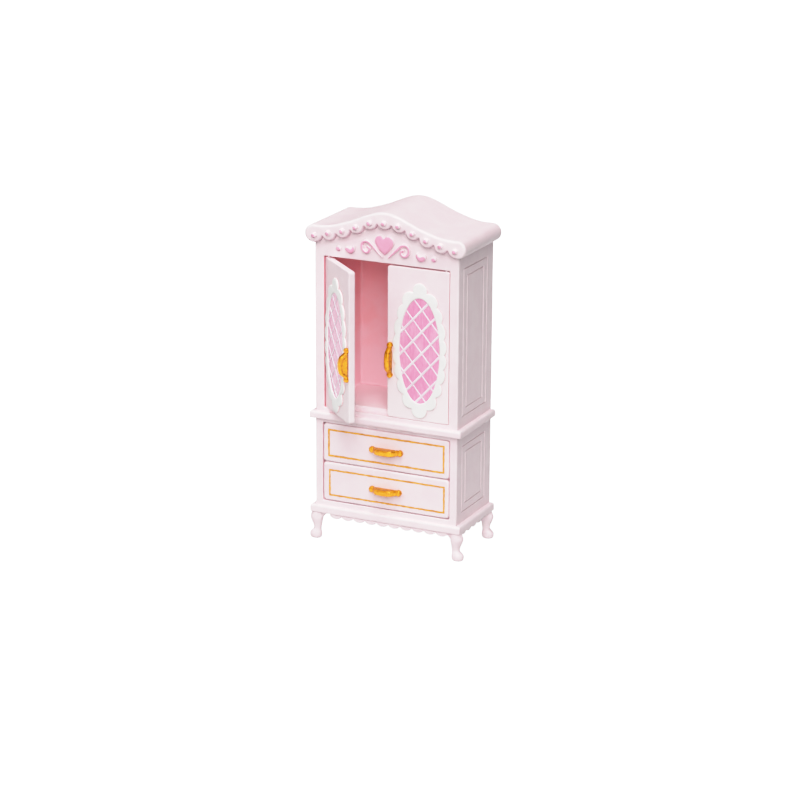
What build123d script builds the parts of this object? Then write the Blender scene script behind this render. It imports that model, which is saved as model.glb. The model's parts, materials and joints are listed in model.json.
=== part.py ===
"""Miniature wardrobe: a two-door cupboard on a chest of two drawers, on four cabriole legs.

Millimetres, +Z up. The origin is at floor level under the middle of the cabinet, and the
doors and drawers face -Y. At rest the left door stands open and everything else is shut.
"""

from build123d import *

import os
from math import atan2, cos, degrees, radians, sin, sqrt

os.makedirs("parts", exist_ok=True)

# ---------------------------------------------------------------- driving dimensions

total_height = 100.0

# plan of the cabinet
half_width = 22.4        # outer faces of both stages
front = -11.5            # frames, shut doors and drawer fronts lie in this plane
back = 12.2              # flat back of the whole piece
frame_depth = 2.0        # face frames, door leaves and drawer fronts
side_wall = 2.0
back_wall = 1.0

# levels, from the floor up
base_bottom = 8.25
base_top = 10.6
drawer_opening_bottom = 12.05
drawer_opening_top = 35.8
waist_bottom = 37.0
waist_top = 39.1
door_opening_bottom = 40.3
floor_top = 41.65
door_opening_top = 85.15
side_top = 89.15         # outer sides end here, under the roof's rolls

# openings in the face frames
door_opening_half = 19.62
drawer_opening_half = 20.12

# shelves
shelf_half = 23.9
waist_front = -12.6
base_front = -12.4
shelf_top_radius = 0.7
shelf_bottom_radius = 0.3

# roof
roof_front = -13.05
fascia_depth = front - roof_front
roof_thickness = 1.9
roll_radius = 2.55
# right half of the roof's curve, from the ridge to where the roll begins
gable_curve = [(4.1, 99.2), (7.2, 97.95), (10.3, 96.65), (14.0, 95.4), (18.0, 94.45)]
# right half of the scalloped edge: (x, z) of each notch and of each lobe's lowest point
fascia_notches = [(2.17, 96.3), (6.33, 95.3), (10.58, 93.7), (15.1, 92.2), (19.33, 91.05)]
fascia_lobes = [(4.5, 94.5), (8.95, 92.9), (13.3, 91.2), (17.8, 90.05)]
fascia_mid_lobe = 94.95
fascia_end_lobe = (20.9, 89.35)
pearl_radius = 0.85
pearls = [(0, 96.95), (4.45, 96.6), (8.8, 94.95), (13.0, 93.4), (17.4, 92.35), (21.8, 91.3)]

# ornaments on the frieze; outlines and paths are (x, z) of the right-hand one
ornament_depth = 0.85
dot_depth = 0.6
heart_x = -0.3
heart_half = 3.05
heart_tip = 87.5
heart_dip = 92.5
heart_top = 93.25
heart_lobe_x = 1.62
heart_shoulder = 91.6
scroll_width = 0.85
scroll_path = [
    (0.95, 86.95),
    (2.7, 88.6),
    (4.2, 90.05),
    (5.65, 91.0),
    (7.25, 89.35),
    (5.85, 87.8),
    (4.8, 88.75),
    (5.6, 89.55),
]
drop_outline = [
    (9.75, 89.45),
    (10.55, 88.7),
    (11.9, 89.05),
    (12.6, 88.3),
    (11.9, 87.2),
    (10.6, 86.9),
    (9.6, 87.8),
    (9.35, 88.9),
]
dot_x = 14.8
dot_z = 88.0
dot_radius = 0.85

# doors: the hinge axis stands inside each outer edge of the leaf
door_bottom = 40.45
door_top = 84.85
door_outer_edge = 19.5
door_inner_edge = 0.45
hinge_inset = 1.15       # from the leaf's outer edge to the hinge axis
hinge_depth = 0.6        # from the leaf's face to the hinge axis
hinge_pin_radius = 0.3
hinge_hole_radius = 0.36
hinge_hole_depth = 1.2
hinge_pin_length = 0.95  # how far each pin stands into the frame
left_door_open = 43.0    # degrees, as the piece stands at rest
right_door_open = 0.0

# medallion on each door
medallion_x = 10.6       # distance of its centre from the middle of the cabinet
medallion_z = 60.9
oval_a = 6.2             # half axes of the inner oval
oval_b = 15.36
lobe_tip_a = 8.45        # half axes of the oval through the lobe tips
lobe_tip_b = 19.75
# notches on one side of the ring, from top to bottom, measured from its centre
ring_notches = [
    (2.12, 17.0),
    (5.3, 13.2),
    (6.76, 8.95),
    (7.54, 4.1),
    (7.7, -0.3),
    (7.5, -4.6),
    (6.56, -9.0),
    (5.02, -13.1),
    (2.45, -17.1),
]
medallion_proud = 0.5
panel_recess = 0.6
panel_proud = 0.08
lattice_proud = 0.32
lattice_step = 5.55      # from one crossing to the next, along X
# steepness and width of the bars that lean towards the hinge, then of the others
lattice_bars_out = (1.08, 0.75)
lattice_bars_in = (-1.191, 0.5)
lattice_shift = 0.63     # its middle crossing stands this far from the oval's, towards the hinge
lattice_drop = 0.57      # and this far below it
lattice_fall = 0.057     # each row of crossings sinks this much per mm towards the hinge
lattice_bars = 4         # bars on each side of the middle one

# bow pulls
pull_reach = 2.95        # how far a pull stands out
pull_foot = 0.95         # height at which the bow leaves its end knobs
pull_bow = 1.45          # from a pull's end to where the bow begins
pull_shoulder = 0.82     # share of its reach at the bow's shoulders
pull_crest = 2.87        # its reach near the middle, just short of the outermost point
knob_height = 1.15
knob_rounding = 0.4
# length, width of the bow, radius of the end knobs, middle (x, z); a left pull is mirrored
door_pulls = {"left": (10.1, 1.6, 0.85, 1.5, 57.6), "right": (10.5, 1.6, 0.85, 1.4, 57.3)}
drawer_pulls = {"upper": (10.65, 1.75, 0.95, 0.33, 29.9), "lower": (10.3, 1.75, 0.95, 0.15, 17.9)}

# drawers
drawer_gap = 0.24
drawer_split = 23.98     # middle of the gap between the two fronts
drawer_front_half = 19.9
drawer_corner_radius = 1.0
drawer_edge_radius = 0.5
tray_half = 19.6
tray_back = 9.0
tray_wall = 1.2
runner_top = {"upper": 24.3, "lower": 12.2}
divider_bottom = 23.6
tray_height = 9.6
tray_clearance = 0.05

# inside of the wardrobe
stop_plane = -9.35       # front edges of its floor and inner walls, just behind the doors
lining_half = 18.85      # inner faces of its side walls
ceiling_thickness = 1.2

# grooves of the side panels: half depth along Y, lowest z, highest z
groove_width = 0.3
groove_depth = 0.28
upper_grooves = [(8.1, 42.3, 85.25), (5.6, 44.55, 83.0)]
lower_grooves = [(7.95, 13.65, 33.4), (5.6, 16.0, 31.3)]

# aprons under the base shelf
apron_depth = 0.8
apron_inset = 0.35      # behind the base shelf's front edge
apron_notch = 7.7
apron_lobe = 6.9
front_apron_pitch = 3.743
front_apron_lobes = 10
front_apron_first = -17.6
side_apron_pitch = 3.66
side_apron_lobes = 4
side_apron_first = -8.85
side_apron_end = 8.45
side_apron_x = 23.0

# legs: z, how far the section's centre stands out from the ankle, half sizes in X and Y
ankle_x = 22.05
leg_y = {"front": -10.75, "rear": 10.65}
leg_sections = [
    (0.0, 0.55, 1.2, 1.0),
    (0.5, 0.62, 1.75, 1.4),
    (1.3, 0.62, 1.83, 1.5),
    (2.2, 0.4, 1.5, 1.3),
    (3.2, 0.0, 1.08, 1.0),
    (4.4, 0.08, 1.35, 1.18),
    (6.2, 0.25, 1.9, 1.5),
    (7.4, 0.12, 1.75, 1.45),
    (8.25, 0.0, 1.4, 1.25),
]

bracket_reach = 1.7      # how far the knee's bracket runs inwards under the shelf
bracket_inner = 1.2      # from the ankle's axis to the bracket's lower end
bracket_bottom = 5.0
bracket_half = 0.5

# worked out from the above
hinge_x = door_outer_edge - hinge_inset
hinge_y = front + hinge_depth
frame_back = front + frame_depth
wall_inside = half_width - side_wall
back_inside = back - back_wall
sides = (("left", -1), ("right", 1))


# ---------------------------------------------------------------- roof


def gable(drop, end_x):
    """Points of the roof's curve from right to left, lowered by drop, ending at +-end_x."""
    end_z = side_top + 2 * roll_radius - drop
    right = [(x, z - drop) for x, z in gable_curve] + [(end_x, end_z)]
    left = [(-x, z) for x, z in right]
    return right[::-1] + [(0, total_height - drop)] + left


def scallops():
    """Notches and lowest points of the fascia's edge, from the left roll to the right one."""
    right = [(0, fascia_mid_lobe)]
    for i, notch in enumerate(fascia_notches):
        right.append(notch)
        right.append(fascia_lobes[i] if i < len(fascia_lobes) else fascia_end_lobe)
    right.append((half_width, side_top))
    left = [(-x, z) for x, z in right[:0:-1]]
    return left + right


with BuildPart() as roof:
    # front plate with the scalloped lower edge
    with BuildSketch(Plane.XZ.offset(-front)):
        with BuildLine():
            Spline(*gable(0, half_width), tangents=((-1, 0), (-1, 0)))
            ThreePointArc(
                (-half_width, side_top + 2 * roll_radius),
                (-half_width - roll_radius, side_top + roll_radius),
                (-half_width, side_top),
            )
            edge = scallops()
            for i in range(0, len(edge) - 2, 2):
                ThreePointArc(edge[i], edge[i + 1], edge[i + 2])
            ThreePointArc(
                (half_width, side_top),
                (half_width + roll_radius, side_top + roll_radius),
                (half_width, side_top + 2 * roll_radius),
            )
        make_face()
    extrude(amount=fascia_depth)
    # curved shell with a roll along each side
    with BuildSketch(Plane.XZ.offset(-front)):
        with BuildLine():
            Spline(*gable(0, half_width), tangents=((-1, 0), (-1, 0)))
            ThreePointArc(
                (-half_width, side_top + 2 * roll_radius),
                (-half_width - roll_radius, side_top + roll_radius),
                (-half_width, side_top),
            )
            underside = gable(roof_thickness, wall_inside)
            Spline(*underside, tangents=((-1, 0), (-1, 0)))
            Polyline((-half_width, side_top), (-wall_inside, side_top), underside[-1])
            Polyline(underside[0], (wall_inside, side_top), (half_width, side_top))
            ThreePointArc(
                (half_width, side_top),
                (half_width + roll_radius, side_top + roll_radius),
                (half_width, side_top + 2 * roll_radius),
            )
        make_face()
    extrude(amount=-(back - front))
roof.part.label = "roof"
export_step(roof.part, "parts/roof.step")

with BuildPart() as fascia_pearls:
    for x, z in pearls:
        for sign in (-1, 1) if x else (1,):
            with Locations(Plane(origin=(sign * x, roof_front, z), z_dir=(0, -1, 0))):
                Sphere(pearl_radius, arc_size1=0, align=(Align.CENTER, Align.CENTER, Align.MIN))
fascia_pearls.part.label = "fascia_pearls"
export_step(fascia_pearls.part, "parts/fascia_pearls.step")

# ---------------------------------------------------------------- frieze ornaments

frieze = Plane.XZ.offset(-front)

with BuildPart() as frieze_heart:
    with BuildSketch(frieze):
        with BuildLine():
            for sign in (-1, 1):
                lobe = (heart_x + sign * heart_lobe_x, heart_top)
                shoulder = (heart_x + sign * heart_half, heart_shoulder)
                belly = (heart_x + sign * heart_half * 0.62, heart_tip + 1.75)
                ThreePointArc((heart_x, heart_dip), lobe, shoulder)
                ThreePointArc(shoulder, belly, (heart_x, heart_tip))
        make_face()
    extrude(amount=ornament_depth)
frieze_heart.part.label = "frieze_heart"
export_step(frieze_heart.part, "parts/frieze_heart.step")

for side, sign in sides:
    with BuildPart() as frieze_scroll:
        with BuildSketch(frieze):
            with BuildLine() as scroll_line:
                Spline(*[(sign * x, z) for x, z in scroll_path])
            trace(scroll_line.line, line_width=scroll_width)
        extrude(amount=ornament_depth)
    frieze_scroll.part.label = f"frieze_scroll_{side}"
    export_step(frieze_scroll.part, f"parts/frieze_scroll_{side}.step")

with BuildPart() as frieze_drops:
    for side, sign in sides:
        with BuildSketch(frieze):
            with BuildLine():
                Spline(*[(sign * x, z) for x, z in drop_outline], periodic=True)
            make_face()
        extrude(amount=ornament_depth)
frieze_drops.part.label = "frieze_drops"
export_step(frieze_drops.part, "parts/frieze_drops.step")

with BuildPart() as frieze_dots:
    with BuildSketch(frieze):
        with Locations((-dot_x, dot_z), (dot_x, dot_z)):
            Circle(dot_radius)
    extrude(amount=dot_depth)
frieze_dots.part.label = "frieze_dots"
export_step(frieze_dots.part, "parts/frieze_dots.step")


# ---------------------------------------------------------------- upper stage


def side_panel(sign, bottom, top, grooves):
    """Outer side wall of one stage, with nested rectangular grooves in its outer face."""
    outside = Plane(origin=(sign * half_width, 0, 0), x_dir=(0, sign, 0), z_dir=(sign, 0, 0))
    with BuildPart() as panel:
        with BuildSketch(outside):
            with Locations((sign * (frame_back + back) / 2, (bottom + top) / 2)):
                Rectangle(back - frame_back, top - bottom)
        extrude(amount=-side_wall)
        for half_depth, low, high in grooves:
            with BuildSketch(outside):
                with Locations((0, (low + high) / 2)):
                    length = 2 * half_depth
                    height = high - low
                    Rectangle(length + groove_width, height + groove_width)
                    Rectangle(length - groove_width, height - groove_width, mode=Mode.SUBTRACT)
            extrude(amount=-groove_depth, mode=Mode.SUBTRACT)
    return panel


with BuildPart() as upper_face_frame:
    with BuildSketch(frieze):
        with BuildLine():
            underside = gable(roof_thickness, wall_inside)
            Spline(*underside, tangents=((-1, 0), (-1, 0)))
            Polyline(
                underside[-1],
                (-wall_inside, side_top),
                (-half_width, side_top),
                (-half_width, waist_top),
                (half_width, waist_top),
                (half_width, side_top),
                (wall_inside, side_top),
                underside[0],
            )
        make_face()
        opening_middle = (door_opening_bottom + door_opening_top) / 2
        with Locations((0, opening_middle)):
            opening_height = door_opening_top - door_opening_bottom
            Rectangle(2 * door_opening_half, opening_height, mode=Mode.SUBTRACT)
    extrude(amount=-frame_depth)
    # sockets for the doors' hinge pins
    for side, sign in sides:
        for level, depth in (
            (door_opening_bottom, -hinge_hole_depth),
            (door_opening_top, hinge_hole_depth),
        ):
            with BuildSketch(Plane(origin=(sign * hinge_x, hinge_y, level))):
                Circle(hinge_hole_radius)
            extrude(amount=depth, mode=Mode.SUBTRACT)
upper_face_frame.part.label = "upper_face_frame"
export_step(upper_face_frame.part, "parts/upper_face_frame.step")

for side, sign in sides:
    upper_side = side_panel(sign, waist_top, side_top, upper_grooves)
    upper_side.part.label = f"upper_side_{side}"
    export_step(upper_side.part, f"parts/upper_side_{side}.step")

    with BuildPart() as upper_lining:
        with BuildSketch(Plane.XY.offset(floor_top)):
            with Locations((sign * (lining_half + wall_inside) / 2, (stop_plane + back_inside) / 2)):
                Rectangle(wall_inside - lining_half, back_inside - stop_plane)
        extrude(amount=door_opening_top - floor_top)
    upper_lining.part.label = f"upper_lining_{side}"
    export_step(upper_lining.part, f"parts/upper_lining_{side}.step")

with BuildPart() as upper_back:
    with BuildSketch(Plane.XZ.offset(-back_inside)):
        with BuildLine():
            underside = gable(roof_thickness, wall_inside)
            Spline(*underside, tangents=((-1, 0), (-1, 0)))
            Polyline(underside[-1], (-wall_inside, waist_top), (wall_inside, waist_top), underside[0])
        make_face()
    extrude(amount=-back_wall)
upper_back.part.label = "upper_back"
export_step(upper_back.part, "parts/upper_back.step")

with BuildPart() as upper_floor:
    with BuildSketch(Plane.XY.offset(waist_top)):
        with Locations((0, (stop_plane + back_inside) / 2)):
            Rectangle(2 * wall_inside, back_inside - stop_plane)
    extrude(amount=floor_top - waist_top)
upper_floor.part.label = "upper_floor"
export_step(upper_floor.part, "parts/upper_floor.step")

with BuildPart() as upper_ceiling:
    with BuildSketch(Plane.XY.offset(door_opening_top)):
        with Locations((0, (frame_back + back_inside) / 2)):
            Rectangle(2 * wall_inside, back_inside - frame_back)
    extrude(amount=ceiling_thickness)
upper_ceiling.part.label = "upper_ceiling"
export_step(upper_ceiling.part, "parts/upper_ceiling.step")


# ---------------------------------------------------------------- shelves

for name, bottom, top, edge_front in (
    ("waist_shelf", waist_bottom, waist_top, waist_front),
    ("base_shelf", base_bottom, base_top, base_front),
):
    with BuildPart() as shelf:
        with BuildSketch(Plane.XY.offset(bottom)):
            with Locations((0, (edge_front + back) / 2)):
                Rectangle(2 * shelf_half, back - edge_front)
        extrude(amount=top - bottom)
        rims = shelf.edges().filter_by(lambda e: e.center().Y < back - 0.01)
        fillet(rims.group_by(Axis.Z)[-1], shelf_top_radius)
        rims = shelf.edges().filter_by(lambda e: e.center().Y < back - 0.01)
        fillet(rims.group_by(Axis.Z)[0], shelf_bottom_radius)
    shelf.part.label = name
    export_step(shelf.part, f"parts/{name}.step")


# ---------------------------------------------------------------- lower stage

with BuildPart() as lower_face_frame:
    with BuildSketch(frieze):
        with Locations((0, (base_top + waist_bottom) / 2)):
            Rectangle(2 * half_width, waist_bottom - base_top)
        with Locations((0, (drawer_opening_bottom + drawer_opening_top) / 2)):
            opening_height = drawer_opening_top - drawer_opening_bottom
            Rectangle(2 * drawer_opening_half, opening_height, mode=Mode.SUBTRACT)
    extrude(amount=-frame_depth)
lower_face_frame.part.label = "lower_face_frame"
export_step(lower_face_frame.part, "parts/lower_face_frame.step")

for side, sign in sides:
    lower_side = side_panel(sign, base_top, waist_bottom, lower_grooves)
    lower_side.part.label = f"lower_side_{side}"
    export_step(lower_side.part, f"parts/lower_side_{side}.step")

for name, y_low, y_high, z_low, z_high in (
    ("lower_back", back_inside, back, base_top, waist_bottom),
    ("lower_floor", frame_back, back_inside, base_top, runner_top["lower"]),
    ("drawer_divider", frame_back, back_inside, divider_bottom, runner_top["upper"]),
):
    with BuildPart() as board:
        with BuildSketch(Plane.XY.offset(z_low)):
            with Locations((0, (y_low + y_high) / 2)):
                Rectangle(2 * wall_inside, y_high - y_low)
        extrude(amount=z_high - z_low)
    board.part.label = name
    export_step(board.part, f"parts/{name}.step")


# ---------------------------------------------------------------- aprons


def scalloped_strip(plane, pitch, lobes, first, end, sign):
    """Flat strip under the base shelf, a row of round lobes along its lower edge from first."""
    with BuildPart() as strip:
        with BuildSketch(plane):
            with BuildLine():
                last = first + pitch * lobes
                Polyline(
                    (sign * first, apron_notch),
                    (sign * first, base_bottom),
                    (sign * end, base_bottom),
                    (sign * end, apron_notch),
                )
                if end > last:
                    Line((sign * last, apron_notch), (sign * end, apron_notch))
                for i in range(lobes):
                    start = first + i * pitch
                    ThreePointArc(
                        (sign * start, apron_notch),
                        (sign * (start + pitch / 2), apron_lobe),
                        (sign * (start + pitch), apron_notch),
                    )
            make_face()
        extrude(amount=-apron_depth)
    return strip


apron_front = scalloped_strip(
    Plane.XZ.offset(-base_front - apron_inset),
    front_apron_pitch,
    front_apron_lobes,
    front_apron_first,
    front_apron_first + front_apron_lobes * front_apron_pitch,
    1,
)
apron_front.part.label = "apron_front"
export_step(apron_front.part, "parts/apron_front.step")

for side, sign in sides:
    apron_side = scalloped_strip(
        Plane(origin=(sign * side_apron_x, 0, 0), x_dir=(0, sign, 0), z_dir=(sign, 0, 0)),
        side_apron_pitch,
        side_apron_lobes,
        side_apron_first,
        side_apron_end,
        sign,
    )
    apron_side.part.label = f"apron_{side}"
    export_step(apron_side.part, f"parts/apron_{side}.step")


# ---------------------------------------------------------------- legs

for side, sign in sides:
    for end, y in leg_y.items():
        with BuildPart() as leg:
            for z, outward, half_x, half_y in leg_sections:
                with BuildSketch(Plane(origin=(sign * (ankle_x + outward), y, z))):
                    Ellipse(half_x, half_y)
            loft()
            with BuildSketch(Plane.XZ.offset(-y)):
                with BuildLine():
                    inner = sign * (ankle_x - bracket_inner)
                    Polyline(
                        (sign * ankle_x, bracket_bottom),
                        (sign * ankle_x, base_bottom),
                        (inner - sign * bracket_reach, base_bottom),
                        (inner - sign * bracket_reach, base_bottom - 0.5),
                        (inner, bracket_bottom),
                        close=True,
                    )
                make_face()
            extrude(amount=bracket_half, both=True)
        leg.part.label = f"leg_{end}_{side}"
        export_step(leg.part, f"parts/leg_{end}_{side}.step")


# ---------------------------------------------------------------- pulls


def pull_outline(middle, length):
    """Side outline of a bow between its knobs: out along X, its length along Y."""
    half = length / 2 - pull_bow
    rise = [(pull_foot, half), (pull_shoulder * pull_reach, 0.64 * half), (pull_crest, 0.32 * half)]
    curve = [(out, -along) for out, along in rise] + [(pull_reach, 0)] + rise[::-1]
    Spline(*[(out, middle + along) for out, along in curve])
    Polyline(
        (pull_foot, middle + half),
        (0, middle + half),
        (0, middle - half),
        (pull_foot, middle - half),
    )


def bow_pull(side_plane, face, middle, spot, sizes, lengthwise):
    """Bow pull on a face: a round knob at each end and the bow between them."""
    length, width, knob_radius = sizes
    along = length / 2 - knob_radius
    with BuildPart() as pull:
        with BuildSketch(face):
            for way in (-1, 1):
                shift = (0, way * along) if lengthwise else (way * along, 0)
                with Locations((spot[0] + shift[0], spot[1] + shift[1])):
                    Circle(knob_radius)
        extrude(amount=knob_height)
        tops = pull.edges().filter_by(lambda e: face.to_local_coords(e.center()).Z > knob_height / 2)
        fillet(tops.filter_by(GeomType.CIRCLE), knob_rounding)
        with BuildSketch(side_plane):
            with BuildLine():
                pull_outline(middle, length)
            make_face()
        extrude(amount=width / 2, both=True)
    return pull


# ---------------------------------------------------------------- doors


def door_planes(sign, angle):
    """A door's plan plane on its hinge axis, its face plane, and the plane its pull is drawn on."""
    turn = radians(angle)
    along = (cos(turn), sign * sin(turn), 0)
    outward = (sign * sin(turn), -cos(turn), 0)
    axis = Vector(sign * hinge_x, hinge_y, 0)
    plan = Plane(origin=axis, x_dir=along, z_dir=(0, 0, 1))
    face = Plane(origin=axis + Vector(outward) * hinge_depth, x_dir=along, z_dir=outward)
    pull = Plane(origin=face.origin, x_dir=outward, z_dir=-Vector(along))
    return plan, face, pull


def lobe_tip(start, end):
    """Where the line square to the middle of a lobe's chord meets the oval through the tips."""
    x, z = (start[0] + end[0]) / 2, (start[1] + end[1]) / 2
    out_x, out_z = start[1] - end[1], end[0] - start[0]
    a = (out_x / lobe_tip_a) ** 2 + (out_z / lobe_tip_b) ** 2
    b = x * out_x / lobe_tip_a**2 + z * out_z / lobe_tip_b**2
    c = (x / lobe_tip_a) ** 2 + (z / lobe_tip_b) ** 2 - 1
    step = (sqrt(b * b - a * c) - b) / a
    return x + step * out_x, z + step * out_z


for side, sign in sides:
    plan, face, pull = door_planes(sign, left_door_open if side == "left" else right_door_open)
    middle = sign * (medallion_x - hinge_x)
    *sizes, pull_x, pull_z = door_pulls[side]

    with BuildPart() as door:
        with BuildSketch(plan.offset(door_bottom)):
            outer = sign * hinge_inset
            inner = sign * (door_inner_edge - hinge_x)
            leaf_back = frame_depth - hinge_depth
            with BuildLine():
                FilletPolyline(
                    (outer, -hinge_depth),
                    (outer, leaf_back),
                    (inner, leaf_back),
                    (inner, -hinge_depth),
                    radius=[0.4, 0.7, 0.2, 0.4],
                    close=True,
                )
            make_face()
        extrude(amount=door_top - door_bottom)
        with BuildSketch(face):
            with Locations((middle, medallion_z)):
                Ellipse(oval_a, oval_b)
        extrude(amount=-panel_recess, mode=Mode.SUBTRACT)
        for level, length in (
            (door_bottom, door_opening_bottom - hinge_pin_length - door_bottom),
            (door_top, door_opening_top + hinge_pin_length - door_top),
        ):
            with BuildSketch(plan.offset(level)):
                Circle(hinge_pin_radius)
            extrude(amount=length)
    door.part.label = f"door_{side}"
    export_step(door.part, f"parts/door_{side}.step")

    with BuildPart() as door_panel:
        with BuildSketch(face.offset(-panel_recess)):
            with Locations((middle, medallion_z)):
                Ellipse(oval_a, oval_b)
        extrude(amount=panel_recess + panel_proud)
    door_panel.part.label = f"door_panel_{side}"
    export_step(door_panel.part, f"parts/door_panel_{side}.step")

    with BuildPart() as medallion:
        # ring with round lobes outside and a plain oval inside
        with BuildSketch(face):
            with BuildLine():
                notches = ring_notches + [(-x, z) for x, z in ring_notches[::-1]]
                for start, end in zip(notches, notches[1:] + notches[:1]):
                    points = (start, lobe_tip(start, end), end)
                    ThreePointArc(*[(middle + x, medallion_z + z) for x, z in points])
            make_face()
            with Locations((middle, medallion_z)):
                Ellipse(oval_a, oval_b, mode=Mode.SUBTRACT)
            with Locations((sign * (pull_x - hinge_x), pull_z)):
                Rectangle(2 * sizes[2], sizes[0], mode=Mode.SUBTRACT)
        extrude(amount=medallion_proud)
        # crossing bars of the lattice, on the panel
        with BuildSketch(face.offset(panel_proud)):
            for slope, width in (lattice_bars_out, lattice_bars_in):
                tilt = degrees(atan2(sign * slope, 1)) - 90
                for i in range(-lattice_bars, lattice_bars + 1):
                    offset = i * lattice_step
                    x = middle + sign * (lattice_shift + offset)
                    z = medallion_z - lattice_drop - lattice_fall * offset
                    with Locations((x, z)):
                        Rectangle(width, 4 * oval_b, rotation=tilt)
            with Locations((middle, medallion_z)):
                Ellipse(oval_a, oval_b, mode=Mode.INTERSECT)
        extrude(amount=lattice_proud - panel_proud)
    medallion.part.label = f"medallion_{side}"
    export_step(medallion.part, f"parts/medallion_{side}.step")

    door_handle = bow_pull(
        pull.offset(sign * (hinge_x - pull_x)),
        face,
        pull_z,
        (sign * (pull_x - hinge_x), pull_z),
        sizes,
        True,
    )
    door_handle.part.label = f"door_handle_{side}"
    export_step(door_handle.part, f"parts/door_handle_{side}.step")


# ---------------------------------------------------------------- drawers

drawer_fronts = {
    "upper": (drawer_split + drawer_gap / 2, drawer_opening_top - drawer_gap),
    "lower": (drawer_opening_bottom + drawer_gap, drawer_split - drawer_gap / 2),
}

for name, (low, high) in drawer_fronts.items():
    with BuildPart() as drawer:
        with BuildSketch(frieze):
            with Locations((0, (low + high) / 2)):
                RectangleRounded(2 * drawer_front_half, high - low, drawer_corner_radius)
        extrude(amount=-frame_depth)
        fillet(drawer.edges().group_by(Axis.Y)[0], drawer_edge_radius)
        with BuildSketch(Plane.XY.offset(runner_top[name] + tray_clearance)):
            with Locations((0, (frame_back + tray_back) / 2)):
                Rectangle(2 * tray_half, tray_back - frame_back)
        extrude(amount=tray_height)
        with BuildSketch(Plane.XY.offset(runner_top[name] + tray_clearance + tray_wall)):
            with Locations((0, (frame_back + tray_back - tray_wall) / 2)):
                Rectangle(2 * (tray_half - tray_wall), tray_back - tray_wall - frame_back)
        extrude(amount=tray_height, mode=Mode.SUBTRACT)
    drawer.part.label = f"drawer_{name}"
    export_step(drawer.part, f"parts/drawer_{name}.step")

    *sizes, pull_x, pull_z = drawer_pulls[name]
    drawer_handle = bow_pull(
        Plane(origin=(pull_x, front, pull_z), x_dir=(0, -1, 0)),
        frieze,
        0,
        (pull_x, pull_z),
        sizes,
        False,
    )
    drawer_handle.part.label = f"drawer_handle_{name}"
    export_step(drawer_handle.part, f"parts/drawer_handle_{name}.step")
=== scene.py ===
import json
import math
from functools import cached_property

import bmesh
import bpy
import numpy as np
from mathutils import Matrix, Vector, geometry, noise


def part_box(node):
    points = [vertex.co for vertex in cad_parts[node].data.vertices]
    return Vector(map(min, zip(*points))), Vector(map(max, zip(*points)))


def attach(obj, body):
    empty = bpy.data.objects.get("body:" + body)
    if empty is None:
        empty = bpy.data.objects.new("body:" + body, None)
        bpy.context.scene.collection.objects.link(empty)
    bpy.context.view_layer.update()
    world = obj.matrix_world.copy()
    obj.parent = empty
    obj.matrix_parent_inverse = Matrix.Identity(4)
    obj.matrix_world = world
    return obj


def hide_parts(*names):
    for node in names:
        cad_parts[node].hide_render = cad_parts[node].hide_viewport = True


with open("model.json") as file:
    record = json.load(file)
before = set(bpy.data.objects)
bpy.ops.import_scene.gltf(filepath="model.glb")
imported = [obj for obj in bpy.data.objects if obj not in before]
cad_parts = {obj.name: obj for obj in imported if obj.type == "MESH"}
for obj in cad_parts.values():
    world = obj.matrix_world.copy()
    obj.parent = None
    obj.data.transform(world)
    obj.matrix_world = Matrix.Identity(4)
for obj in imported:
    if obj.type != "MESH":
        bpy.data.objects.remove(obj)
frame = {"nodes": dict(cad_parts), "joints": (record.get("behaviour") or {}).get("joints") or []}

# Miniature wardrobe. Shapes are worked out in millimetres in the frame's own axes and
# turned into metres when a mesh is made.

MM = 0.001
TAU = 2 * math.pi
SIDES = (("left", -1), ("right", 1))
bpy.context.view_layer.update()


def span(node):
    """Lowest and highest corner of a CAD node, in millimetres."""
    return [[value / MM for value in corner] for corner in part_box(node)]


# ---- levels from the frame

roof_low, roof_high = span("roof")
frame_low, frame_high = span("upper_face_frame")
waist_low, waist_high = span("waist_shelf")
base_low, base_high = span("base_shelf")
inner_low, inner_high = span("upper_lining_right")
cabinet_back = roof_high[1]
front = frame_low[1]
frame_back = frame_high[1]
half_width = frame_high[0]
wall_inside = span("upper_back")[1][0]
side_top = span("upper_side_right")[1][2]

# ---- flat outlines


def arc(a, b, c, step=0.25):
    """Points of the arc from a through b to c, without c itself."""
    a, b, c = (np.array(p, float) for p in (a, b, c))
    d = 2 * (a[0] * (b[1] - c[1]) + b[0] * (c[1] - a[1]) + c[0] * (a[1] - b[1]))
    if abs(d) < 1e-9:
        return [tuple(a)]
    squares = [p @ p for p in (a, b, c)]
    x = (squares[0] * (b[1] - c[1]) + squares[1] * (c[1] - a[1]) + squares[2] * (a[1] - b[1])) / d
    y = (squares[0] * (c[0] - b[0]) + squares[1] * (a[0] - c[0]) + squares[2] * (b[0] - a[0])) / d
    radius = math.hypot(a[0] - x, a[1] - y)
    start, via, end = (math.atan2(p[1] - y, p[0] - x) for p in (a, b, c))
    turn = (end - start) % TAU
    if (via - start) % TAU > turn:
        turn -= TAU
    count = max(2, int(abs(turn) * radius / step + 0.5))
    angles = [start + turn * i / count for i in range(count)]
    return [(x + radius * math.cos(t), y + radius * math.sin(t)) for t in angles]


def ellipse(x, y, half_x, half_y, count):
    return [
        (x + half_x * math.sin(TAU * i / count), y + half_y * math.cos(TAU * i / count))
        for i in range(count)
    ]


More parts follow.
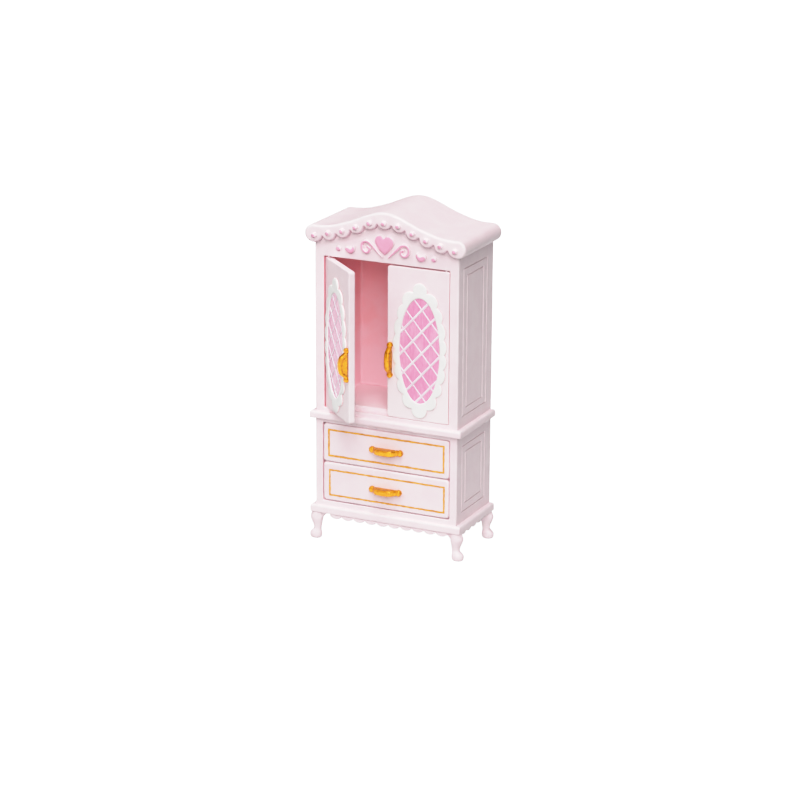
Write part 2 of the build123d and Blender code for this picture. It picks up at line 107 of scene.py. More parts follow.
def filleted(corners, radii, step=0.25, longest=3.0):
    """Closed polygon with each corner rounded by its own radius and long sides subdivided."""
    points = []
    count = len(corners)
    for i in range(count):
        before, corner, after = (Vector(corners[(i + k) % count]) for k in (-1, 0, 1))
        back = (before - corner).normalized()
        ahead = (after - corner).normalized()
        radius = radii[i % len(radii)]
        angle = back.angle(ahead)
        if radius <= 0 or angle > 3.1:
            points.append(tuple(corner))
            continue
        reach = radius / math.tan(angle / 2)
        centre = corner + (back + ahead).normalized() * (radius / math.sin(angle / 2))
        start = corner + back * reach
        end = corner + ahead * reach
        middle = centre + (corner - centre).normalized() * radius
        points += arc(start, middle, end, min(step, radius / 3))
        points.append(tuple(end))
    return subdivided(points, longest)


def subdivided(points, longest):
    out = []
    for i, a in enumerate(points):
        b = points[(i + 1) % len(points)]
        pieces = max(1, math.ceil(math.hypot(b[0] - a[0], b[1] - a[1]) / longest))
        out += [
            (a[0] + (b[0] - a[0]) * k / pieces, a[1] + (b[1] - a[1]) * k / pieces)
            for k in range(pieces)
        ]
    return out


def rectangle(x0, y0, x1, y1, radius=0.0, longest=3.0):
    return filleted([(x0, y0), (x1, y0), (x1, y1), (x0, y1)], [radius], longest=longest)


def spline(points, start, end, step=0.5):
    """Smooth curve through points that leaves along start and arrives along end."""
    p = np.array(points, float)
    knots = np.concatenate([[0], np.cumsum(np.linalg.norm(np.diff(p, axis=0), axis=1))])
    gaps = np.diff(knots)
    count = len(p)
    system = np.zeros((count, count))
    right = np.zeros((count, 2))
    system[0, 0] = system[-1, -1] = 1
    right[0], right[-1] = start, end
    for i in range(1, count - 1):
        g, h = gaps[i - 1], gaps[i]
        system[i, i - 1 : i + 2] = h, 2 * (g + h), g
        right[i] = 3 * (h * (p[i] - p[i - 1]) / g + g * (p[i + 1] - p[i]) / h)
    slopes = np.linalg.solve(system, right)
    out = []
    for i, gap in enumerate(gaps):
        pieces = max(2, int(gap / step + 0.5))
        for k in range(pieces + (i == count - 2)):
            t = k / pieces
            h00, h10 = 2 * t**3 - 3 * t**2 + 1, t**3 - 2 * t**2 + t
            h01, h11 = -2 * t**3 + 3 * t**2, t**3 - t**2
            out.append(
                tuple(h00 * p[i] + h10 * gap * slopes[i] + h01 * p[i + 1] + h11 * gap * slopes[i + 1])
            )
    return out


def smooth_path(points, step=0.2):
    """Curve through points with free ends."""
    p = np.array(points, float)
    start = (p[1] - p[0]) / np.linalg.norm(p[1] - p[0])
    end = (p[-1] - p[-2]) / np.linalg.norm(p[-1] - p[-2])
    return spline(points, start, end, step)


def closed_path(points, step=0.2):
    """Closed curve through points."""
    p = np.array(points, float)
    start = (p[1] - p[-1]) / np.linalg.norm(p[1] - p[-1])
    return spline(list(points) + [points[0]], start, start, step)[:-1]


def stroke(points, widths):
    """Closed outline round a path, with round ends; widths are spread along the path."""
    p = np.array(points, float)
    along = np.gradient(p, axis=0)
    along /= np.linalg.norm(along, axis=1)[:, None]
    across = np.stack([-along[:, 1], along[:, 0]], 1)
    length = np.concatenate([[0], np.cumsum(np.linalg.norm(np.diff(p, axis=0), axis=1))])
    half = np.interp(length / length[-1], np.linspace(0, 1, len(widths)), widths)[:, None] / 2
    left, right = p + across * half, p - across * half
    tip = p[-1] + along[-1] * half[-1]
    tail = p[0] - along[0] * half[0]
    outline = [tuple(q) for q in left[:-1]]
    outline += arc(left[-1], tip, right[-1], 0.08)
    outline += [tuple(q) for q in right[:0:-1]]
    outline += arc(right[0], tail, left[0], 0.08)
    return outline


def mirrored(points):
    return [(-x, y) for x, y in points]


# ---- filling an outline

ROUNDING_ANGLES = [math.radians(a) for a in (18, 36, 54, 72, 90)]


def distances(points, loop):
    """Distance from each point to a closed polyline."""
    points = np.asarray(points, float)
    a = np.asarray(loop, float)
    ab = np.roll(a, -1, 0) - a
    length = np.maximum((ab**2).sum(1), 1e-18)
    out = np.empty(len(points))
    for i in range(0, len(points), 1500):
        ap = points[i : i + 1500, None] - a[None]
        t = np.clip((ap * ab).sum(2) / length, 0, 1)
        out[i : i + 1500] = np.sqrt(((ap - t[..., None] * ab) ** 2).sum(2)).min(1)
    return out


def inside(points, loops):
    """Which points lie in the area of the loops, holes left out."""
    points = np.asarray(points, float)
    crossings = np.zeros(len(points), int)
    for loop in loops:
        a = np.asarray(loop, float)
        b = np.roll(a, -1, 0)
        rise = b[:, 1] - a[:, 1]
        rise[rise == 0] = 1e-18
        y = points[:, None, 1]
        spans = (a[:, 1] > y) != (b[:, 1] > y)
        x = a[:, 0] + (y - a[:, 1]) / rise * (b[:, 0] - a[:, 0])
        crossings += (spans & (points[:, None, 0] < x)).sum(1)
    return crossings % 2 == 1


def inner_left(loop, loops):
    """The loop, turned so that the area lies to the left of it."""
    a = np.asarray(loop, float)
    b = np.roll(a, -1, 0)
    lengths = np.linalg.norm(b - a, axis=1)
    i = int(lengths.argmax())
    along = (b[i] - a[i]) / lengths[i]
    probe = (a[i] + b[i]) / 2 + np.array([-along[1], along[0]]) * lengths[i] * 0.02
    return a if inside([probe], loops)[0] else a[::-1]


def rows(loop, amounts):
    """Points set in from a loop by each amount, with the area to its left."""
    before, after = loop - np.roll(loop, 1, 0), np.roll(loop, -1, 0) - loop
    n1 = np.stack([-before[:, 1], before[:, 0]], 1)
    n2 = np.stack([-after[:, 1], after[:, 0]], 1)
    n1 /= np.linalg.norm(n1, axis=1)[:, None]
    n2 /= np.linalg.norm(n2, axis=1)[:, None]
    middle = n1 + n2
    middle /= np.maximum(np.linalg.norm(middle, axis=1)[:, None], 1e-9)
    cosine = np.maximum((middle * n1).sum(1), 0.3)[:, None]
    turn = before[:, 0] * after[:, 1] - before[:, 1] * after[:, 0]
    turn /= np.linalg.norm(before, axis=1) * np.linalg.norm(after, axis=1)
    groove_shade = turn < -0.15
    for amount in amounts:
        yield amount, np.concatenate(
            [
                (loop + middle * amount / cosine)[~groove_shade],
                (loop + n1 * amount)[groove_shade],
                (loop + middle * amount)[groove_shade],
                (loop + n2 * amount)[groove_shade],
            ]
        )


def fill(loops, radii, grid):
    """Triangulates the area of closed loops, with rows of points where its rim is rounded.

    Returns the points, the triangles and each point's distance to each loop.
    """
    loops = [inner_left(loop, loops) for loop in loops]
    found = []
    for loop, radius in zip(loops, radii):
        if radius <= 0:
            continue
        for amount, candidates in rows(loop, [radius * (1 - math.cos(t)) for t in ROUNDING_ANGLES]):
            near = np.min([distances(candidates, other) for other in loops], axis=0)
            found.append(candidates[(near > amount * 0.97) & inside(candidates, loops)])
    found = np.concatenate(found) if found else np.zeros((0, 2))
    if grid:
        everything = np.concatenate(loops)
        low, high = everything.min(0), everything.max(0)
        lines = np.arange(low[1] + grid / 2, high[1], grid * 0.866)
        lattice = np.array(
            [
                (x + (k % 2) * grid / 2, y)
                for k, y in enumerate(lines)
                for x in np.arange(low[0] + grid / 4, high[0], grid)
            ]
        ).reshape(-1, 2)
        lattice = lattice[inside(lattice, loops)]
        reach = [distances(lattice, loop) - radius for loop, radius in zip(loops, radii)]
        lattice = lattice[np.min(reach, axis=0) > grid * 0.4] if len(lattice) else lattice
        found = np.concatenate([found, lattice])
    if len(found):
        found = found[np.unique(np.round(found / 0.02), axis=0, return_index=True)[1]]
    coords = [Vector(p) for loop in loops for p in loop] + [Vector(p) for p in found]
    edges, start = [], 0
    for loop in loops:
        count = len(loop)
        edges += [(start + i, start + (i + 1) % count) for i in range(count)]
        start += count
    points, _, faces, *_ = geometry.delaunay_2d_cdt(coords, edges, [], 0, 1e-6)
    points = np.array(points, float)
    middles = np.array([points[list(face)].mean(0) for face in faces])
    faces = [face for face, kept in zip(faces, inside(middles, loops)) if kept]
    used = sorted({i for face in faces for i in face})
    index = {old: new for new, old in enumerate(used)}
    faces = [tuple(index[i] for i in face) for face in faces]
    points = points[used]
    faces = [face if winding(points, face) > 0 else face[::-1] for face in faces]
    return points, faces, [distances(points, loop) for loop in loops]


def winding(points, face):
    a, b, c = (points[i] for i in face[:3])
    return (b[0] - a[0]) * (c[1] - a[1]) - (b[1] - a[1]) * (c[0] - a[0])


def rim_edges(faces):
    """Edges that only one face has, in that face's direction."""
    seen = {}
    for face in faces:
        for i, j in zip(face, face[1:] + face[:1]):
            seen[(i, j)] = True
    return [(i, j) for i, j in seen if (j, i) not in seen]


def drop(distance, radius):
    """How far a rounded rim lies below the flat at a distance from the outline."""
    if radius <= 0:
        return np.zeros_like(distance)
    left = np.maximum(radius - distance, 0)
    return radius - np.sqrt(np.maximum(radius**2 - left**2, 0))


def bevel(distance, radius):
    """1 halfway round a rounded rim, 0 where it meets the flat or the side wall."""
    if radius <= 0:
        return np.zeros_like(distance)
    cosine = np.clip(1 - distance / radius, 0, 1)
    return 2 * cosine * np.sqrt(1 - cosine**2)


# ---- solids


def axes(origin, u, v):
    """Placement whose first two axes are u and v, its third one pointing out of the plane."""
    u, v = Vector(u).normalized(), Vector(v).normalized()
    m = Matrix((u, v, u.cross(v))).transposed().to_4x4()
    m.translation = Vector(origin)
    return m


def on_front(y=0.0):
    """Plane facing -Y: X across, Z up."""
    return axes((0, y, 0), (1, 0, 0), (0, 0, 1))


def on_side(sign, x=0.0):
    """Plane facing +X or -X; its first axis runs along Y or against it."""
    return axes((sign * x, 0, 0), (0, sign, 0), (0, 0, 1))


FLAT = Matrix.Identity(4)


class Part:
    """Vertices, faces, material numbers, paint and rim amounts of one closed solid."""

    def __init__(self):
        self.points, self.faces, self.slots, self.paint, self.rim = [], [], [], [], []

    def add(self, points, faces, slot=0, paint=None, rim=None):
        start = len(self.points)
        self.points += [Vector(p) for p in points]
        self.faces += [tuple(start + i for i in face) for face in faces]
        self.slots += slot if isinstance(slot, list) else [slot] * len(faces)
        self.paint += list(paint) if paint is not None else [0.0] * len(points)
        self.rim += list(rim) if rim is not None else [0.0] * len(points)
        return start


def plate(loops, top, bottom, place, grid=0.0, shape=None, paint=None, wall_slot=None,
          both=False, slot=0, faces_kept="both"):
    """Solid between two heights over an outline of loops: (points, top radius, bottom radius).

    shape(points, distance) raises its top and paint(points, distance) marks it. They do the same
    to its bottom when both is set. slot is its material number, and wall_slot(middle, loop) picks
    the one of its side walls. faces_kept may leave out its top or its bottom.
    """
    outlines = [loop[0] for loop in loops]
    radii = [max(loop[1], loop[2]) for loop in loops]
    points, faces, away = fill(outlines, radii, grid)
    near = np.min(away, axis=0)
    upper = np.full(len(points), float(top))
    lower = np.full(len(points), float(bottom))
    upper_rim, lower_rim = np.zeros(len(points)), np.zeros(len(points))
    for distance, (_, top_radius, bottom_radius) in zip(away, loops):
        upper -= drop(distance, top_radius)
        lower += drop(distance, bottom_radius)
        upper_rim = np.maximum(upper_rim, bevel(distance, top_radius))
        lower_rim = np.maximum(lower_rim, bevel(distance, bottom_radius))
    if shape:
        change = shape(points, near)
        upper += change
        if both:
            lower -= change
    part = Part()
    count = len(points)
    marks = paint(points, near) if paint else np.zeros(count)
    under = marks if both else np.zeros(count)
    world = [place @ Vector((p[0], p[1], h)) for p, h in zip(points, upper)]
    world += [place @ Vector((p[0], p[1], h)) for p, h in zip(points, lower)]
    solid, slots = [], []
    if faces_kept in ("both", "top"):
        solid += faces
        slots += [slot] * len(faces)
    if faces_kept in ("both", "bottom"):
        solid += [tuple(count + i for i in face[::-1]) for face in faces]
        slots += [slot] * len(faces)
    for i, j in rim_edges(faces):
        solid.append((j, i, count + i, count + j))
        middle = (points[i] + points[j]) / 2
        which = int(np.argmin([distance[i] + distance[j] for distance in away]))
        slots.append(wall_slot(middle, which) if wall_slot else slot)
    part.add(world, solid, slots, list(marks) + list(under), list(upper_rim) + list(lower_rim))
    return part


def skin(stations, sides):
    """Quads that join each ring of points to the next one."""
    return [
        (s * sides + k, s * sides + m, (s + 1) * sides + m, (s + 1) * sides + k)
        for s in range(stations - 1) for k, m in zip(range(sides), [*range(1, sides), 0])
    ]


def capped(stations, sides):
    """The same, closed at both ends."""
    last = (stations - 1) * sides
    ends = [tuple(range(sides))[::-1], tuple(range(last, last + sides))]
    return skin(stations, sides) + ends


def bar(a, b, width, height, place):
    """Half-round ridge from a to b in a plane."""
    a, b = Vector(a), Vector(b)
    along = (b - a).normalized()
    across = Vector((-along.y, along.x))
    length = (b - a).length
    stations = [0.0, 0.1, length - 0.1, length]
    angles = [math.pi * k / 8 for k in range(9)]
    section = [(math.cos(t) * width / 2, math.sin(t) * height) for t in angles]
    flats = [(a + along * s + across * off, up) for s in stations for off, up in section]
    points = [place @ Vector((flat.x, flat.y, up)) for flat, up in flats]
    part = Part()
    part.add(points, capped(len(stations), len(section)))
    return part


def make(name, parts, materials, body, slot, replaces=(), crease=38.0, weld=False, weighted=True):
    """Joins solids into one piece, smooths it up to the crease angle, and rides it on a body."""
    mesh = bpy.data.meshes.new(name)
    points, faces, slots, paint, rim = [], [], [], [], []
    for part in parts:
        start = len(points)
        points += [p * MM for p in part.points]
        faces += [tuple(start + i for i in face) for face in part.faces]
        slots += part.slots
        paint += part.paint
        rim += part.rim
    mesh.from_pydata(points, [], faces)
    mesh.polygons.foreach_set("material_index", slots)
    for key, values in (("paint", paint), ("rim", rim)):
        attribute = mesh.attributes.new(key, "FLOAT", "POINT")
        attribute.data.foreach_set("value", np.array(values, np.float32))
    bm = bmesh.new()
    bm.from_mesh(mesh)
    if weld:
        bmesh.ops.remove_doubles(bm, verts=bm.verts, dist=2e-7)
    bmesh.ops.dissolve_degenerate(bm, dist=1e-8, edges=bm.edges)
    bmesh.ops.recalc_face_normals(bm, faces=bm.faces)
    for face in bm.faces:
        face.smooth = True
    bm.to_mesh(mesh)
    bm.free()
    mesh.set_sharp_from_angle(angle=math.radians(crease))
    piece = bpy.data.objects.new(name, mesh)
    bpy.context.scene.collection.objects.link(piece)
    for material in materials:
        mesh.materials.append(material)
    if weighted:
        modifier = piece.modifiers.new("weighted_normals", "WEIGHTED_NORMAL")
        modifier.keep_sharp = True
        modifier.weight = 60
    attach(piece, body)
    if replaces:
        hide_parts(*replaces)
    return piece


def on_cabinet(name, parts, replaces, materials=None, slot="cabinet_plastic", **more):
    """A fixed piece, of the shell's painted plastic unless told otherwise."""
    return make(name, parts, materials or [shell], "cabinet", slot, replaces, **more)


# ---- materials


def colour(red, green, blue):
    """Linear colour from 0-255 display values."""
    parts = [v / 255 for v in (red, green, blue)]
    linear = [v / 12.92 if v <= 0.04045 else ((v + 0.055) / 1.055) ** 2.4 for v in parts]
    return (*linear, 1.0)


class Finish:
    """A Principled material with helpers for its node tree."""

    def __init__(self, name, roughness=0.5, specular=0.5, metallic=0.0, coat=0.0):
        self.material = bpy.data.materials.new(name)
        self.material.use_nodes = True
        self.tree = self.material.node_tree
        self.inputs = self.tree.nodes["Principled BSDF"].inputs
        self.inputs["Roughness"].default_value = roughness
        self.inputs["Specular IOR Level"].default_value = specular
        self.inputs["Metallic"].default_value = metallic
        self.inputs["Coat Weight"].default_value = coat

    @cached_property
    def place(self):
        return self.tree.nodes.new("ShaderNodeTexCoord").outputs["Object"]

    def put(self, socket, value):
        if isinstance(value, bpy.types.NodeSocket):
            self.tree.links.new(value, socket)
        else:
            socket.default_value = value

    def node(self, kind, *values, **inputs):
        """New node whose inputs are set by number or by name."""
        node = self.tree.nodes.new(kind)
        for number, value in enumerate(values):
            self.put(node.inputs[number], value)
        for name, value in inputs.items():
            self.put(node.inputs[name.replace("_", " ")], value)
        return node

    def noise(self, size, detail=3.0, stretch=(1, 1, 1), roughness=0.55, shift=0.0):
        """Noise whose features are about size millimetres."""
        mapping = self.node("ShaderNodeMapping", Vector=self.place, Scale=stretch)
        mapping.inputs["Location"].default_value = (shift, shift * 0.7, shift * 0.3)
        vector, scale = mapping.outputs[0], 1 / (size * MM)
        return self.node(
            "ShaderNodeTexNoise", Vector=vector, Scale=scale, Detail=detail, Roughness=roughness
        ).outputs["Fac"]

    def ramp(self, fac, low, high, start=0.0, end=1.0):
        """Value from start to end as fac goes from low to high."""
        found = self.node("ShaderNodeMapRange", fac, low, high, start, end)
        found.interpolation_type = "SMOOTHSTEP"
        return found.outputs["Result"]

    def mix(self, fac, a, b):
        found = self.tree.nodes.new("ShaderNodeMix")
        found.data_type = "RGBA"
        for number, value in zip((0, 6, 7), (fac, a, b)):
            self.put(found.inputs[number], value)
        return found.outputs[2]

    def maths(self, operation, a, b):
        found = self.node("ShaderNodeMath", a, b)
        found.operation = operation
        return found.outputs[0]

    def attribute(self, name="paint"):
        found = self.tree.nodes.new("ShaderNodeAttribute")
        found.attribute_name = name
        return found.outputs["Fac"]

    def bump(self, *layers):
        """Stacks bumps: (height, strength, distance in millimetres)."""
        normal = None
        for height, strength, distance in layers:
            inputs = {"Height": height, "Strength": strength, "Distance": distance * MM}
            if normal:
                inputs["Normal"] = normal
            normal = self.node("ShaderNodeBump", **inputs).outputs["Normal"]
        self.put(self.inputs["Normal"], normal)

    @property
    def colour_so_far(self):
        return self.inputs["Base Color"].links[0].from_socket

    def base(self, value):
        self.put(self.inputs["Base Color"], value)

    def rough(self, value):
        self.put(self.inputs["Roughness"], value)


def painted_plastic(name, light, dark, grain=0.35, roughness=0.48, strength=0.1, rim_wear_highlight=None):
    """Satin paint over moulded plastic: faint mottling and a fine orange-peel grain.

    Rims are lightened in patches, partly rubbed paint and partly a painted highlight, and a painted
    shade darkens the surface where the paint attribute says.
    """
    finish = Finish(name, roughness, 0.4)
    mottle = finish.noise(5.0, 4.0)
    body = finish.mix(finish.ramp(mottle, 0.35, 0.65), dark, light)
    if rim_wear_highlight:
        # rims lightened in patches: rubbed paint together with a painted highlight on the bevels
        patchy = finish.ramp(finish.noise(1.6, 3.0, shift=11.0), 0.35, 0.65, 0.45, 1.0)
        rubbed_and_highlit = finish.maths("MULTIPLY", finish.attribute("rim"), patchy)
        body = finish.mix(finish.maths("MULTIPLY", rubbed_and_highlit, 0.55), body, rim_wear_highlight)
        # painted shade: darker mauve where the paint attribute marks the scalloped edges
        body = finish.mix(finish.attribute(), body, PAINTED_EDGE_SHADE)
    finish.base(body)
    sheen = finish.noise(1.5, 2.0, shift=3.0)
    finish.rough(finish.ramp(sheen, 0.3, 0.7, roughness - 0.05, roughness + 0.07))
    finish.bump(
        (finish.noise(grain, 3.0), strength, 0.02), (finish.noise(2.2, 2.0, shift=7.0), 0.25, 0.05)
    )
    return finish


SHELL_LIGHT = colour(247, 224, 229)
SHELL_DARK = colour(244, 219, 225)
# inside colours, deeper pink at the top and paler down to the floor: a painted shade gradient
INNER_TOP = colour(255, 180, 188)
INNER_BOTTOM = colour(255, 204, 214)
INNER_FLOOR = colour(255, 224, 231)
PINK_LIGHT = colour(241, 160, 194)
PINK_DARK = colour(233, 138, 180)
WHITE_LIGHT = colour(245, 244, 241)
WHITE_DARK = colour(240, 238, 236)
# paler rim colours: rubbed paint together with a painted highlight on the rounded edges
RIM_WEAR_AND_HIGHLIGHT = colour(252, 240, 242)
DOOR_RIM_WEAR_AND_HIGHLIGHT = colour(249, 231, 234)
# painted shade laid under the scalloped edges of the fascia and the aprons
PAINTED_EDGE_SHADE = colour(218, 176, 190)
BAR_LIGHT = colour(248, 231, 240)
BAR_DARK = colour(243, 218, 231)

shell = painted_plastic("shell_paint", SHELL_LIGHT, SHELL_DARK, rim_wear_highlight=RIM_WEAR_AND_HIGHLIGHT).material
drawer_shell = painted_plastic("drawer_paint", SHELL_LIGHT, SHELL_DARK, rim_wear_highlight=RIM_WEAR_AND_HIGHLIGHT).material
white = painted_plastic("medallion_paint", WHITE_LIGHT, WHITE_DARK, 0.6, 0.4, 0.22, RIM_WEAR_AND_HIGHLIGHT).material
bar_paint = painted_plastic("lattice_paint", BAR_LIGHT, BAR_DARK, 0.5, 0.45, 0.2).material


def door_paint_with_painted_light():
    """Shell paint turned paler towards the foot of the doors, a painted light."""
    finish = painted_plastic("door_paint_with_painted_light", SHELL_LIGHT, SHELL_DARK, 0.5, 0.45, 0.2, DOOR_RIM_WEAR_AND_HIGHLIGHT)
    body = finish.colour_so_far
    height = finish.node("ShaderNodeSeparateXYZ", Vector=finish.place).outputs["Z"]
    # painted light: paler, whiter paint low on the doors
    finish.base(finish.mix(finish.ramp(height, 42 * MM, 76 * MM), colour(251, 233, 236), body))
    return finish.material


door_shell = door_paint_with_painted_light()


def ornament_paint():
    """Shell paint with pink on the crests, its edge slightly uneven."""
    finish = painted_plastic("ornament_paint", SHELL_LIGHT, SHELL_DARK, 0.35, 0.4)
    wander = finish.ramp(finish.noise(0.5, 2.0, shift=5.0), 0.2, 0.8, -0.22, 0.22)
    mask = finish.ramp(finish.maths("ADD", finish.attribute(), wander), 0.4, 0.6)
    body = finish.colour_so_far
    pink = finish.mix(finish.noise(0.8, 3.0), colour(238, 156, 187), colour(246, 176, 204))
    finish.base(finish.mix(mask, body, pink))
    return finish.material


def panel_paint():
    """Glossy pink enamel, pooled a little unevenly inside each cell."""
    finish = Finish("panel_paint", 0.28, 0.5, coat=0.25)
    finish.inputs["Coat Roughness"].default_value = 0.18
    pooled = finish.noise(2.6, 3.0, (1.0, 1.0, 0.55))
    streaks = finish.noise(0.9, 2.0, (1.6, 1.6, 0.35), shift=2.0)
    tone = finish.mix(finish.ramp(pooled, 0.35, 0.68), PINK_DARK, PINK_LIGHT)
    finish.base(finish.mix(finish.ramp(streaks, 0.55, 0.8, 0.0, 0.35), tone, colour(250, 200, 224)))
    finish.rough(finish.ramp(streaks, 0.3, 0.7, 0.2, 0.4))
    finish.bump((finish.noise(1.2, 2.0, shift=1.0), 0.35, 0.05))
    return finish.material


def gold_paint():
    """Metallic gold paint in mottled tones, with painted shade making it browner in the grooves; the
    ridges keep the brighter tones.
    """
    finish = Finish("gold_paint", 0.34, 0.5, metallic=0.6)
    tone = finish.noise(0.7, 4.0, roughness=0.65)
    warm = finish.mix(finish.ramp(tone, 0.3, 0.7), colour(194, 114, 4), colour(230, 154, 14))
    fleck = finish.ramp(finish.noise(0.25, 2.0, shift=4.0), 0.58, 0.72)
    # painted shade: the pull's groove mask turns the gold browner
    groove_shade = finish.attribute()
    dark = finish.mix(fleck, colour(140, 74, 8), colour(206, 128, 20))
    finish.base(finish.mix(groove_shade, warm, dark))
    finish.rough(finish.ramp(tone, 0.3, 0.7, 0.26, 0.46))
    finish.bump((finish.noise(0.45, 3.0, shift=6.0), 0.5, 0.06))
    return finish.material


def gilt_line():
    """Thin hand-drawn gold line, heavier and browner where the brush was full."""
    finish = Finish("gilt_line", 0.4, 0.5, metallic=0.3)
    tone = finish.noise(1.6, 4.0, (1.0, 1.0, 1.6), roughness=0.7)
    finish.base(finish.mix(finish.ramp(tone, 0.32, 0.68), colour(190, 118, 6), colour(224, 156, 22)))
    finish.bump((finish.noise(0.3, 2.0), 0.4, 0.03))
    return finish.material


ornament = ornament_paint()
panel_pink = panel_paint()
gold = gold_paint()
gilt = gilt_line()


def inside_plastic(name, roughness):
    """Pink plastic of the inside with painted shade, deeper pink towards the top and paler towards the
    bottom, with faint clouds and a fine grain.
    """
    finish = Finish(name, roughness, 0.4)
    split = finish.node("ShaderNodeSeparateXYZ", Vector=finish.place)
    cloud = finish.ramp(finish.noise(7.0, 3.0), 0.3, 0.7, -6 * MM, 6 * MM)
    height = finish.maths("ADD", split.outputs["Z"], cloud)
    finish.base(finish.mix(finish.ramp(height, 0.044, 0.078), INNER_BOTTOM, INNER_TOP))
    sheen = finish.noise(1.8, 2.0, shift=3.0)
    finish.rough(finish.ramp(sheen, 0.3, 0.7, roughness - 0.05, roughness + 0.08))
    # a faint pink glow: painted light that lifts the shaded inside
    finish.put(finish.inputs["Emission Color"], colour(255, 140, 155))
    finish.put(finish.inputs["Emission Strength"], 0.018)
    finish.bump((finish.noise(0.3, 3.0), 0.06, 0.02), (finish.noise(2.6, 2.0, shift=7.0), 0.2, 0.05))
    return finish


inner = inside_plastic("inner_plastic", 0.5).material
# pink of the gaps and jambs, also laid on the medallion rings' side walls as painted shade
gap_and_shade_pink = painted_plastic("gap_pink", colour(247, 168, 180), colour(240, 152, 167), 0.3, 0.5).material
pale_gap = painted_plastic(
    "pale_gap_pink", colour(249, 208, 216), colour(246, 198, 208), 0.3, 0.5
).material


def floor_paint():
    """Inside plastic whose paint fades to the pale shell colour at the front edge."""
    finish = inside_plastic("inner_floor_plastic", 0.42)
    inside_colour = finish.colour_so_far
    split = finish.node("ShaderNodeSeparateXYZ", Vector=finish.place)
    wander = finish.ramp(finish.noise(3.0, 2.0), 0.2, 0.8, -0.5 * MM, 0.5 * MM)
    depth = finish.maths("ADD", split.outputs["Y"], wander)
    fade = finish.ramp(depth, inner_low[1] * MM, (inner_low[1] + 8.0) * MM, 1.0, 0.0)
    ground_levels = (inner_low[2] - 0.1) * MM, (inner_low[2] + 0.6) * MM
    height = finish.ramp(split.outputs["Z"], *ground_levels, 1.0, 0.0)
    ground = finish.mix(height, inside_colour, INNER_FLOOR)
    finish.base(finish.mix(finish.maths("MULTIPLY", fade, height), ground, SHELL_LIGHT))
    return finish.material


inner_floor = floor_paint()

# ---- roof

ridge = roof_high[2]
roll_radius = roof_high[0] - half_width
roll_z = side_top + roll_radius
roof_front = roof_low[1]
roof_rim = 0.7
roof_thickness = 1.9
rim_inset = 1.2
gable_points = [(4.1, 99.2), (7.2, 97.95), (10.3, 96.65), (14.0, 95.4), (18.0, 94.45)]
notches = [(2.17, 96.3), (6.33, 95.3), (10.58, 93.7), (15.1, 92.2), (19.33, 91.05)]
lobes = [(4.5, 94.5), (8.95, 92.9), (13.3, 91.2), (17.8, 90.05), (20.9, 89.35)]
middle_lobe = (0.0, 94.95)


def gable(lowered, end_x):
    """The roof's curve from right to left, lowered by an amount."""
    end = (end_x, side_top + 2 * roll_radius - lowered)
    right = [(x, z - lowered) for x, z in gable_points] + [end]
    points = right[::-1] + [(0, ridge - lowered)] + mirrored(right)
    return spline(points, (-1, 0), (-1, 0), 0.6)


def roof_top():
    """Over the right roll, the gable and the left roll."""
    right = arc(
        (half_width, side_top), (half_width + roll_radius, roll_z), (half_width, roll_z + roll_radius)
    )
    return right + gable(0, half_width) + mirrored(right)[::-1]


def scalloped_edge():
    """The fascia's lower edge from the left roll to the right one."""
    stops = [middle_lobe]
    for notch, lobe in zip(notches, lobes):
        stops += [notch, lobe]
    stops.append((half_width, side_top))
    stops = mirrored(stops[:0:-1]) + stops
    points = []
    for i in range(0, len(stops) - 2, 2):
        points += arc(*stops[i : i + 3], 0.22)
    return points[1:]


def roof_underside():
    """Inner line of the shell from the left roll to the right one."""
    seat = [(half_width - rim_inset, side_top + 0.1), (wall_inside, side_top + 0.2)]
    return mirrored(seat) + gable(roof_thickness, wall_inside)[::-1] + seat[::-1]


def roof_piece():
    top, scallops, under = roof_top(), scalloped_edge(), roof_underside()
    place = on_front()
    lower_edge = scallops[2:-2]

    # painted shade along the fascia's scalloped lower edge
    def scallop_shade(points, near):
        beside = distances(points, lower_edge + lower_edge[::-1])
        return np.clip(1.1 - beside / roof_rim, 0, 0.9)

    fascia = plate(
        [(top + scallops, roof_rim, 0)], -roof_front, -front, place, 1.6, faces_kept="top",
        paint=scallop_shade, both=True
    )
    shell_part = plate([(top + under, 0, 0.3)], -front, -cabinet_back, place, 2.2, faces_kept="bottom")
    left_end, right_end = top[-1], top[0]
    ledge = [left_end] + scallops + [right_end] + under[::-1]
    points, faces, _ = fill([ledge], [0], 0)
    back = Part()
    back.add([place @ Vector((p[0], p[1], -front)) for p in points], [f[::-1] for f in faces])
    on_cabinet("roof_moulding", [fascia, shell_part, back], ["roof"], crease=42, weld=True)


roof_piece()

pearl_radius = 0.85
pearls = [(0, 96.95), (4.45, 96.6), (8.8, 94.95), (13.0, 93.4), (17.4, 92.35), (21.8, 91.3)]


def raised(loop, rounding, base, depth, grid, paint):
    """Ornament that stands out of the plane y = base, its foot sunk in it."""
    return plate(
        [(loop, rounding, 0)], depth - base, -base - 0.1, on_front(), grid, paint=lambda points,
        near: np.clip(paint(points), 0, 1)
    )


def ornaments(name, parts, replaces):
    on_cabinet(name, parts, replaces, [ornament], "ornament_pink", crease=60)


def pearl_pieces():
    depth = roof_front - span("fascia_pearls")[0][1]
    parts = []
    for x, z in pearls + mirrored(pearls[1:]):
        loop = ellipse(x, z, pearl_radius, pearl_radius, 28)

        def pink_spot(points, x=x, z=z):
            return (0.68 - np.hypot(points[:, 0] - x + 0.1, points[:, 1] - z + 0.12)) / 0.25

        parts.append(raised(loop, depth * 0.9, roof_front, depth, 0.3, pink_spot))
    ornaments("pearls", parts, ["fascia_pearls"])


pearl_pieces()

# ---- frieze ornaments

